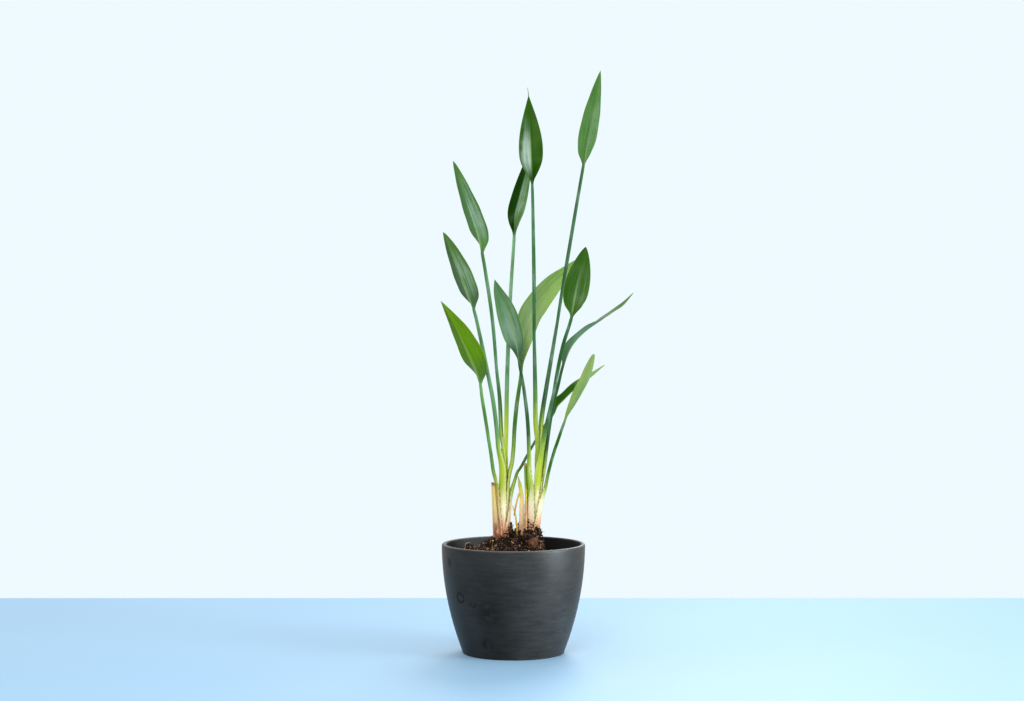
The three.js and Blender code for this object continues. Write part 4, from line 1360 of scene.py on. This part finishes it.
def build_turning_tree():
    """Turns an outline in the plane y = 0 once round Z."""
    wiring, taken, given = new_geometry_tree("Turned piece", {"Sides": 96})
    outline = taken["Geometry"]
    rows = wiring.node("GeometryNodeAttributeDomainSize", {0: outline}).outputs["Point Count"]
    rings = wiring.plus(taken["Sides"], 1.0)
    grid = wiring.node(
        "GeometryNodeMeshGrid",
        {"Size X": 1.0, "Size Y": 1.0, "Vertices X": rings, "Vertices Y": rows},
    )
    index = wiring.node("GeometryNodeInputIndex").outputs[0]
    row = wiring.maths("FLOORED_MODULO", index, rows)
    ring = wiring.maths("FLOOR", wiring.maths("DIVIDE", index, rows))
    position = wiring.node("GeometryNodeInputPosition").outputs[0]
    sample = wiring.node(
        "GeometryNodeSampleIndex", {"Geometry": outline, "Value": position, "Index": row},
        data_type="FLOAT_VECTOR",
    )
    turn = wiring.times(wiring.maths("DIVIDE", ring, taken["Sides"]), 2 * math.pi)
    place = wiring.node(
        "ShaderNodeVectorRotate", {"Vector": sample.outputs["Value"], "Angle": turn},
        rotation_type="Z_AXIS",
    )
    turned = wiring.node(
        "GeometryNodeSetPosition", {"Geometry": grid.outputs["Mesh"], "Position": place.outputs[0]}
    )
    merged = wiring.node(
        "GeometryNodeMergeByDistance", {"Geometry": turned.outputs[0], "Distance": 1e-6}
    )
    finish_tree(wiring, given, merged.outputs[0], taken["Finish"])
    return wiring.tree


def finish_tree(wiring, given, geometry, material):
    real = wiring.node("GeometryNodeRealizeInstances", {"Geometry": geometry})
    dressed = wiring.node(
        "GeometryNodeSetMaterial", {"Geometry": real.outputs[0], "Material": material}
    )
    wiring.feed(given["Geometry"], dressed.outputs[0])


def grow(tree, carrier, name, values):
    """Runs a geometry tree on an object and gives its result as a plain piece."""
    modifier = carrier.modifiers.new(tree.name, "NODES")
    modifier.node_group = tree
    for item in tree.interface.items_tree:
        if item.in_out == "INPUT" and item.name in values:
            modifier[item.identifier] = values[item.name]
    graph = bpy.context.evaluated_depsgraph_get()
    mesh = bpy.data.meshes.new_from_object(carrier.evaluated_get(graph))
    carrier.modifiers.remove(modifier)
    mesh.name = name
    return add_object(name, mesh)


def face_outwards(mesh):
    """Turns a closed mesh right side out."""
    mesh.calc_loop_triangles()
    points = np.empty(len(mesh.vertices) * 3)
    mesh.vertices.foreach_get("co", points)
    corners = np.empty(len(mesh.loop_triangles) * 3, np.int32)
    mesh.loop_triangles.foreach_get("vertices", corners)
    a, b, c = points.reshape(-1, 3)[corners.reshape(-1, 3)].transpose(1, 0, 2)
    if np.einsum("ij,ij->i", a, np.cross(b, c)).sum() < 0:
        mesh.flip_normals()


def build_ring_group(name):
    """A soft ring rubbed on a surface round a place."""
    wiring, taken, given = new_group(
        name,
        {"Place": "Vector", "Middle": "Vector", "Radius": 0.005, "Width": 0.001},
        {"Mask": "Float"},
    )
    away = wiring.vector_maths("DISTANCE", taken["Place"], taken["Middle"], output="Value")
    wobble = wiring.noise(taken["Place"], 90.0, 2.0)
    distance = wiring.times_plus(wobble, 0.002, wiring.minus(away, 0.001))
    off = wiring.maths("ABSOLUTE", wiring.minus(distance, taken["Radius"]))
    ring = wiring.minus(1.0, wiring.smooth(off, 0.0, taken["Width"]))
    wiring.feed(given["Mask"], wiring.times(ring, wiring.smooth(wobble, 0.3, 0.5)))
    return wiring.tree


def pot_material(settings):
    """Matt moulded plastic: faint streaks round it, clouded, with painted shade inside, and a worn
    lip.
    """
    material, wiring, surface = new_material("moulded_pot")
    place = wiring.own_place()
    sideways, _, height = wiring.node("ShaderNodeSeparateXYZ", {0: place}).outputs
    streaks = wiring.noise(wiring.stretched(place, (1.0, 1.0, 7.0)), 38.0, 6.0, 0.68)
    clouds = wiring.noise(place, 13.0, 5.0, 0.6)
    grain = wiring.noise(place, 900.0, 2.0, 0.6)
    body, cloud = opaque(settings.body_colour), opaque(settings.cloud_colour)
    colour = wiring.cover(body, cloud, wiring.smooth(clouds, 0.36, 0.7))
    light = wiring.blend(0.015, colour, POT_STREAK)
    dark = wiring.blend(0.72, BLACK, colour)
    colour = wiring.blend(wiring.smooth(streaks, 0.3, 0.75), dark, light)

    # The inside, told by how far a place is from the wall's outside, gets painted shade, darkest at
    # the right
    flat = wiring.vector_maths("MULTIPLY", place, (1.0, 1.0, 0.0))
    reach = wiring.vector_maths("LENGTH", flat, output="Value")
    below = wiring.minus(1.0, wiring.maths("DIVIDE", height, POT_HEIGHT * MM))
    narrowing = RIM_RADIUS * MM - settings.foot_radius
    narrowed = wiring.times(wiring.maths("POWER", below, 2.0), narrowing)
    depth = wiring.minus(wiring.minus(RIM_RADIUS * MM, narrowed), reach)
    inside = wiring.smooth(depth, settings.wall * 0.6, settings.wall * 0.95)
    inner_shade_strength = wiring.times_plus(wiring.smooth(sideways, -0.06, 0.01), 0.75, 0.25)
    colour = wiring.cover(colour, POT_INNER_SHADE, inside, inner_shade_strength)

    rubbed = 0.0
    for mark in RUB_MARKS:
        radius = pot_radius(mark["height"], settings.foot_radius / MM) * MM
        middle = radius * plan_direction(mark["round"]) + np.array([0, 0, mark["height"] * MM])
        ring = use_group(
            wiring, "Rubbed ring", build_ring_group,
            {"Place": place, "Middle": middle, "Radius": mark["radius"] * MM,
             "Width": mark["width"] * MM},
        )
        here = wiring.times(ring["Mask"], mark["strength"])
        rubbed = wiring.maths("MAXIMUM", here, rubbed)
    colour = wiring.cover(colour, POT_RUBBED, rubbed)
    lip = wiring.smooth(height, (POT_HEIGHT - 1.6) * MM, (POT_HEIGHT - 0.2) * MM)
    colour = wiring.cover(colour, opaque(settings.lip_colour), lip, 0.75)
    rough = wiring.times_plus(rubbed, 0.35, wiring.between(streaks, 0.4, 0.55))
    rough = wiring.times_plus(inside, 0.3, rough)
    relief = wiring.times_plus(grain, 0.5, streaks)
    dress(wiring, surface, colour, rough, bump(wiring, relief, 0.08, 0.0004))
    surface.inputs["Specular IOR Level"].default_value = 0.27
    return material


# ---- Soil ----


def soil_height(x, y):
    """Height of the soil's top: its heaps and the slow waves between them, without lumps."""
    heaped = 0.0
    for centre_x, centre_y, height, radius, steepness in HEAPS:
        away = np.hypot(x - centre_x, y - centre_y) / radius
        heaped = np.maximum(heaped, height * np.exp(-(away**steepness)))
    broad = 1.4 * np.sin(0.31 * x + 1.1) * np.cos(0.27 * y - 0.4)
    return SOIL_LEVEL + heaped + (broad + 0.9 * np.sin(0.53 * y + 0.2 * x))


def lumps(x, y, z):
    """Lumpiness of loose soil, in millimetres."""
    place = Vector((x, y, z))
    return sum(
        height * noise.noise(place / width + Vector(shift)) for height, width, shift in SOIL_LUMPS
    )


def make_soil(settings, pot):
    foot_radius, wall = pot.foot_radius / MM, pot.wall / MM
    floor = pot.floor / MM + SEAT_GAP
    shoulder = SOIL_LEVEL - SOIL_EDGE_DROP
    levels = np.linspace(floor + CORNER_ROUND, shoulder, 14)
    at_wall = [pot_radius(z, foot_radius) - wall - SEAT_GAP for z in levels]
    edge = at_wall[-1]
    top_radii = np.concatenate([
        np.linspace(edge - 1, FINE_REACH, 34), np.linspace(FINE_REACH - 0.6, 0.8, 92)
    ])
    turn = plan_direction(np.degrees(spread(0, 2 * math.pi, SOIL_SIDES)))
    up = np.array([0, 0, 1])
    rings = [
        radius * turn + z * up
        for radius, z in zip([at_wall[0] - CORNER_ROUND, *at_wall], [floor, *levels])
    ]
    for radius in top_radii:
        x, y, _ = (radius * turn).T
        z = soil_height(x, y)
        calm = smoothstep(radius, edge, edge - CALM_WIDTH)
        z = z + calm * np.array([lumps(*place) for place in zip(x, y, z)])
        rings.append(np.stack([x, y, mix(z, np.minimum(z, shoulder + 3), 1 - calm)], -1))
    points = [np.array([[0, 0, floor]]), *rings, np.array([[0, 0, rings[-1][:, 2].mean()]])]
    corner, quads = closed_bands(len(rings), SOIL_SIDES, first=1)
    last = 1 + corner.size
    caps = [[0, b, a] for a, b in zip(corner[0], np.roll(corner[0], -1))]
    caps += [[last, a, b] for a, b in zip(corner[-1], np.roll(corner[-1], -1))]
    mesh = bpy.data.meshes.new("potting_soil")
    mesh.from_pydata((np.concatenate(points) * MM).tolist(), [], quads.tolist() + caps)
    top = np.zeros(last + 1)
    top[1 + (1 + len(levels)) * SOIL_SIDES :] = 1
    set_values(mesh, "open_top", top)
    mesh.shade_smooth()
    face_outwards(mesh)
    mesh.materials.append(soil_material("moist_soil", settings))
    return belongs(add_object("potting_soil", mesh), ["soil"])


def soil_material(name, settings):
    """Moist soil: dark, with paler crumbs by the mark that each crumb carries."""
    material, wiring, surface = new_material(name)
    place = wiring.own_place()
    fine = wiring.noise(place, 700.0, 4.0, 0.65)
    patches = wiring.noise(place, 85.0, 2.0)
    tone = wiring.plus(wiring.attribute("tone"), wiring.times_plus(patches, 0.5, -0.25))
    colour = opaque(settings.dark)
    colour = wiring.cover(colour, opaque(settings.brown), wiring.smooth(tone, 0.22, 0.8))
    colour = wiring.cover(colour, opaque(settings.tan), wiring.smooth(tone, 0.8, 1.05))
    colour = wiring.shade_lows(colour, BLACK, 0.45, fine, 0.35, 0.6)
    normal = bump(wiring, fine, 0.7, 0.0008)
    dress(wiring, surface, colour, wiring.between(fine, 0.6, 0.95), normal)
    surface.inputs["Specular IOR Level"].default_value = 0.12
    return material


def perlite_material(settings):
    material, wiring, surface = new_material("perlite")
    pits = wiring.noise(wiring.own_place(), 1400.0, 2.0)
    colour = wiring.cover(PERLITE_PIT, opaque(settings.perlite), wiring.smooth(pits, 0.35, 0.6))
    normal = bump(wiring, pits, 0.5, 0.0004)
    dress(wiring, surface, colour, wiring.between(pits, 0.95, 0.75), normal)
    return material


def random_value(wiring, low, high, seed, kind="FLOAT"):
    first, output = {"FLOAT_VECTOR": (0, 0), "FLOAT": (2, 1)}[kind]
    inputs = {first: low, first + 1: high, "Seed": seed}
    return wiring.node("FunctionNodeRandomValue", inputs, data_type=kind).outputs[output]


def scatter(wiring, taken, seed_shift, shape, turn, size, tone):
    """Copies of a shape over the open soil, each with a tone of its own, made real."""
    top = wiring.node("GeometryNodeInputNamedAttribute", {"Name": "open_top"}, data_type="FLOAT")
    points = wiring.node("GeometryNodeDistributePointsOnFaces", {
        "Mesh": taken["Geometry"],
        "Density": wiring.times(top.outputs["Attribute"], taken["Density"]),
        "Seed": wiring.plus(taken["Seed"], seed_shift),
    })
    copies = wiring.node("GeometryNodeInstanceOnPoints", {
        "Points": points.outputs["Points"], "Instance": shape, "Rotation": turn, "Scale": size,
    })
    toned = wiring.node(
        "GeometryNodeStoreNamedAttribute",
        {"Geometry": copies.outputs[0], "Name": "tone", "Value": tone},
        data_type="FLOAT", domain="INSTANCE",
    )
    return wiring.node("GeometryNodeRealizeInstances", {"Geometry": toned.outputs[0]}).outputs[0]


def build_crumb_tree():
    """Scatters lumpy grains over the open soil, each with a tone of its own."""
    wiring, taken, given = new_geometry_tree(
        "Scattered crumbs",
        {"Density": 1000.0, "Size": 0.001, "Lumpiness": 0.35, "Detail": 1, "Seed": 1},
    )
    grain = wiring.node(
        "GeometryNodeMeshIcoSphere", {"Radius": 1.0, "Subdivisions": taken["Detail"]}
    )
    full_turn = (2 * math.pi,) * 3
    turn = random_value(wiring, (0.0, 0.0, 0.0), full_turn, 11, "FLOAT_VECTOR")
    shape = random_value(wiring, (0.4, 0.5, 0.45), (1.6, 1.2, 0.9), 12, "FLOAT_VECTOR")
    growth = wiring.maths("POWER", random_value(wiring, 0.0, 1.0, 13), 3.0)
    growth = wiring.times_plus(growth, 1.6, 0.55)
    size = wiring.scaled(shape, wiring.times(growth, taken["Size"]))
    tone = wiring.maths("POWER", random_value(wiring, 0.0, 1.0, 14), 1.15)
    real = scatter(wiring, taken, 0, grain.outputs["Mesh"], turn, size, tone)
    position = wiring.node("GeometryNodeInputPosition").outputs[0]
    rough = wiring.node("ShaderNodeTexNoise", {"Vector": position, "Scale": 620.0, "Detail": 2.0})
    centred = wiring.vector_maths("SUBTRACT", rough.outputs["Color"], (0.5, 0.5, 0.5))
    reach = wiring.times(taken["Size"], wiring.times(taken["Lumpiness"], 6.0))
    lumpy = wiring.node(
        "GeometryNodeSetPosition", {"Geometry": real, "Offset": wiring.scaled(centred, reach)}
    )
    finish_tree(wiring, given, lumpy.outputs[0], taken["Finish"])
    return wiring.tree


def build_fibre_tree():
    """Scatters short bent root fibres over the open soil."""
    wiring, taken, given = new_geometry_tree(
        "Scattered fibres",
        {"Density": 1000.0, "Length": 0.008, "Thickness": 0.0001, "Seed": 1},
    )
    bend = wiring.node("GeometryNodeCurveQuadraticBezier", {
        "Resolution": 7, "Start": (-0.5, 0.0, 0.0), "Middle": (0.1, 0.45, 0.35),
        "End": (0.5, -0.1, 0.0),
    })
    lean = random_value(wiring, (-0.7, -0.7, 0.0), (0.7, 0.7, 2 * math.pi), 21, "FLOAT_VECTOR")
    span = wiring.times(taken["Length"], random_value(wiring, 0.3, 1.2, 22))
    size = wiring.vector(span, span, span)
    tone = random_value(wiring, 0.35, 1.1, 23)
    real = scatter(wiring, taken, 5, bend.outputs[0], lean, size, tone)
    section = wiring.node(
        "GeometryNodeCurvePrimitiveCircle", {"Resolution": 5, "Radius": taken["Thickness"]}
    )
    threads = wiring.node(
        "GeometryNodeCurveToMesh",
        {"Curve": real, "Profile Curve": section.outputs[0], "Fill Caps": True},
    )
    finish_tree(wiring, given, threads.outputs[0], taken["Finish"])
    return wiring.tree


def make_collar(name, clump, rise, side):
    """A band round a clump's foot, marked with where crumbs cling: most towards one side."""
    angles = spread(0, 360, 48)
    heights = np.linspace(COLLAR_START, rise, 12)
    points, marks = [], []
    for height in heights:
        z = clump["foot"] + height
        middle = clump_point(clump, z)
        ring = middle + (clump_radius(clump, z) + COLLAR_GAP) * plan_direction(angles)
        points.append(ring)
        for place in ring:
            away = unit((place - middle)[None, :2])[0]
            towards = 0.5 + 0.5 * np.dot(away, plan_direction(side)[:2])
            limit = rise * (0.25 + 0.75 * towards**2) + 5 * noise.noise(Vector(place) / 5)
            marks.append(float(height < limit))
    _, faces = closed_bands(len(heights), len(angles))
    mesh = mesh_of(name, np.concatenate(points), faces)
    set_values(mesh, "open_top", marks)
    return add_object(name, mesh)


def make_root_lump(settings):
    """The knot of old root that shows in front of the right clump."""
    mesh = bpy.data.meshes.new("root_knot")
    builder = bmesh.new()
    bmesh.ops.create_icosphere(builder, subdivisions=5, radius=1)
    for vertex in builder.verts:
        direction = vertex.co.copy()
        swell = 1 + sum(much * noise.noise(direction * finely) for much, finely in ROOT_SWELLS)
        place = [centre + half * swell * d for centre, half, d in zip(*ROOT_LUMP, direction)]
        vertex.co = Vector(place) * MM
    builder.to_mesh(mesh)
    builder.free()
    set_values(mesh, "tone", np.full(len(mesh.vertices), ROOT_TONE))
    mesh.shade_smooth()
    mesh.materials.append(soil_material("root_knot", settings))
    return belongs(add_object("root_knot", mesh))


# ---- Stage ----


def add_light(name, place, aim, size, power, colour):
    data = bpy.data.lights.new(name, "AREA")
    data.shape = "DISK"
    data.size = size
    data.energy = power
    data.color = colour
    lamp = add_object(name, data)
    lamp.location = place
    lamp.rotation_euler = (Vector(aim) - Vector(place)).to_track_quat("-Z", "Y").to_euler()
    return lamp


def studio_air(settings):
    """A pale backdrop all round, which lights the plant less than it shows."""
    world = bpy.data.worlds.new("studio_air")
    world.use_nodes = True
    wiring = Wiring(world.node_tree)
    seen = wiring.node("ShaderNodeLightPath").outputs["Is Camera Ray"]
    sky = world.node_tree.nodes["Background"]
    light = opaque(settings.light_colour)
    wiring.feed(sky.inputs["Color"], wiring.blend(seen, light, opaque(settings.air_colour)))
    wiring.feed(sky.inputs["Strength"], wiring.between(seen, settings.air_strength, 1.0))
    return world


def table_material(settings):
    material, wiring, surface = new_material("table_top")
    cloud = wiring.noise(wiring.own_place(), 1.5, 2.0)
    colour = wiring.cover(opaque(settings.table_colour), WHITE, cloud, 0.06)
    wiring.feed(surface.inputs["Base Color"], colour)
    surface.inputs["Roughness"].default_value = 0.55
    return material


# ---- Operators ----


class PLANT_OT_pot(bpy.types.Operator):
    """Turn the planter and give it its moulded, slightly rubbed surface"""

    bl_idname = "plant.pot"
    bl_label = "Pot"

    def execute(self, context):
        settings = context.scene.plant_pot
        outline = bpy.data.meshes.new("pot_outline")
        profile = pot_profile(settings)
        chain = [(i, i + 1) for i in range(len(profile) - 1)]
        outline.from_pydata(profile, chain, [])
        carrier = add_object("pot_outline", outline)
        values = {"Sides": settings.sides, "Finish": pot_material(settings)}
        pot = grow(build_turning_tree(), carrier, "planter", values)
        bpy.data.objects.remove(carrier)
        face_outwards(pot.data)
        smooth_except_edges(pot.data, 35)
        belongs(pot, ["pot"])
        return {"FINISHED"}


class PLANT_OT_soil(bpy.types.Operator):
    """Heap the soil and scatter its crumbs, pale grains and root fibres"""

    bl_idname = "plant.soil"
    bl_label = "Soil"

    def execute(self, context):
        settings = context.scene.plant_soil
        soil = make_soil(settings, context.scene.plant_pot)
        make_root_lump(settings)
        crumb_tree, fibre_tree = build_crumb_tree(), build_fibre_tree()
        loose = soil_material("loose_soil", settings)
        crumb, lump = settings.crumb_size, settings.lump_size

        def grains(density, size, seed_shift, detail=1, lumpiness=0.4, finish=loose):
            return {"Density": density, "Size": size, "Lumpiness": lumpiness, "Detail": detail,
                    "Seed": settings.seed + seed_shift, "Finish": finish}

        fibres = {"Density": settings.fibre_density, "Length": FIBRE_LENGTH,
                  "Thickness": FIBRE_THICKNESS, "Seed": settings.seed + 2, "Finish": loose}
        pale = grains(settings.perlite_density, crumb * 0.8, 1, 2, 0.15, perlite_material(settings))
        scattered = [
            (soil, crumb_tree, "soil_crumbs", grains(settings.crumb_density, crumb, 0)),
            (soil, crumb_tree, "soil_lumps", grains(settings.lump_density, lump, 3, 2)),
            (soil, crumb_tree, "perlite_grains", pale),
            (soil, fibre_tree, "root_fibres", fibres),
        ]
        collars = [make_collar(**collar) for collar in COLLARS]
        clinging = grains(settings.clinging_density, crumb, 4)
        scattered += [(collar, crumb_tree, collar.name + "_crumbs", clinging) for collar in collars]
        for carrier, tree, name, values in scattered:
            piece = grow(tree, carrier, name, values)
            if tree is fibre_tree:
                piece.data.shade_smooth()
            else:
                piece.data.shade_flat()
            belongs(piece)
        for collar in collars:
            bpy.data.objects.remove(collar)
        return {"FINISHED"}


class PLANT_OT_leaves(bpy.types.Operator):
    """Grow the leaves, each from the foot of its sheath to the tip of its blade"""

    bl_idname = "plant.leaves"
    bl_label = "Leaves"

    def execute(self, context):
        for number, leaf in enumerate(LEAVES):
            make_leaf(leaf, number, context.scene.plant_leaves)
        return {"FINISHED"}


class PLANT_OT_remains(bpy.types.Operator):
    """Add the cut sheaths and the dry, papery pieces between the clumps"""

    bl_idname = "plant.remains"
    bl_label = "Cut and Dry Pieces"

    def execute(self, context):
        for number, sheath in enumerate(CUT_SHEATHS):
            make_cut_sheath(sheath, number)
        for dry in DRY_PIECES:
            make_dry_piece(dry)
        for margins in MEMBRANES:
            make_dry_piece({**MEMBRANE_LOOK, **margins})
        return {"FINISHED"}


class PLANT_OT_stage(bpy.types.Operator):
    """Set the table, the lights and the camera"""

    bl_idname = "plant.stage"
    bl_label = "Stage"

    def execute(self, context):
        scene = context.scene
        settings = scene.plant_stage
        side, back = TABLE_REACH / MM, TABLE_BACK / MM
        corners = [[-side, -side, 0], [side, -side, 0], [side, back, 0], [-side, back, 0]]
        table = add_object("table", mesh_of("table", corners, [[0, 1, 2, 3]]))
        table.data.materials.append(table_material(settings))

        scene.world = studio_air(settings)
        scene.view_settings.view_transform = "Standard"

        lights = {
            name: add_light(name, place, aim, size, getattr(settings, power_name), colour)
            for name, (place, aim, size, power_name, colour) in LIGHTS.items()
        }
        # The low light shines on the pot alone, so that it doesn't burn out the table
        lit_low = bpy.data.collections.new("lit_low")
        lit_low.objects.link(bpy.data.objects["planter"])
        lights["low_light"].light_linking.receiver_collection = lit_low

        lens = bpy.data.cameras.new("front_camera")
        lens.lens = settings.lens
        lens.sensor_width = SENSOR_WIDTH
        camera = add_object("front_camera", lens)
        camera.location = CAMERA_PLACE
        camera.rotation_euler = (math.radians(90 - CAMERA_PITCH), 0, 0)
        scene.camera = camera
        return {"FINISHED"}


OPERATORS = [PLANT_OT_pot, PLANT_OT_soil, PLANT_OT_leaves, PLANT_OT_remains, PLANT_OT_stage]


class PLANT_PT_panel(bpy.types.Panel):
    """Settings of the plant, and a button for each of its steps"""

    bl_label = "Potted Bird of Paradise"
    bl_idname = "PLANT_PT_panel"
    bl_space_type = "VIEW_3D"
    bl_region_type = "UI"
    bl_category = "Plant"

    def draw(self, context):
        for operator in OPERATORS:
            self.layout.operator(operator.bl_idname)
        for name, group in SETTINGS.items():
            box = self.layout.box()
            for setting in group.__annotations__:
                box.prop(getattr(context.scene, name), setting)


CLASSES = [*SETTINGS.values(), *OPERATORS, PLANT_PT_panel]


def register():
    for cls in CLASSES:
        bpy.utils.register_class(cls)
    for name, group in SETTINGS.items():
        setattr(bpy.types.Scene, name, bpy.props.PointerProperty(type=group))


def unregister():
    for name in SETTINGS:
        delattr(bpy.types.Scene, name)
    for cls in reversed(CLASSES):
        bpy.utils.unregister_class(cls)


def main():
    register()
    bpy.ops.plant.pot()
    bpy.ops.plant.soil()
    bpy.ops.plant.leaves()
    bpy.ops.plant.remains()
    bpy.ops.plant.stage()


if __name__ == "__main__":
    main()
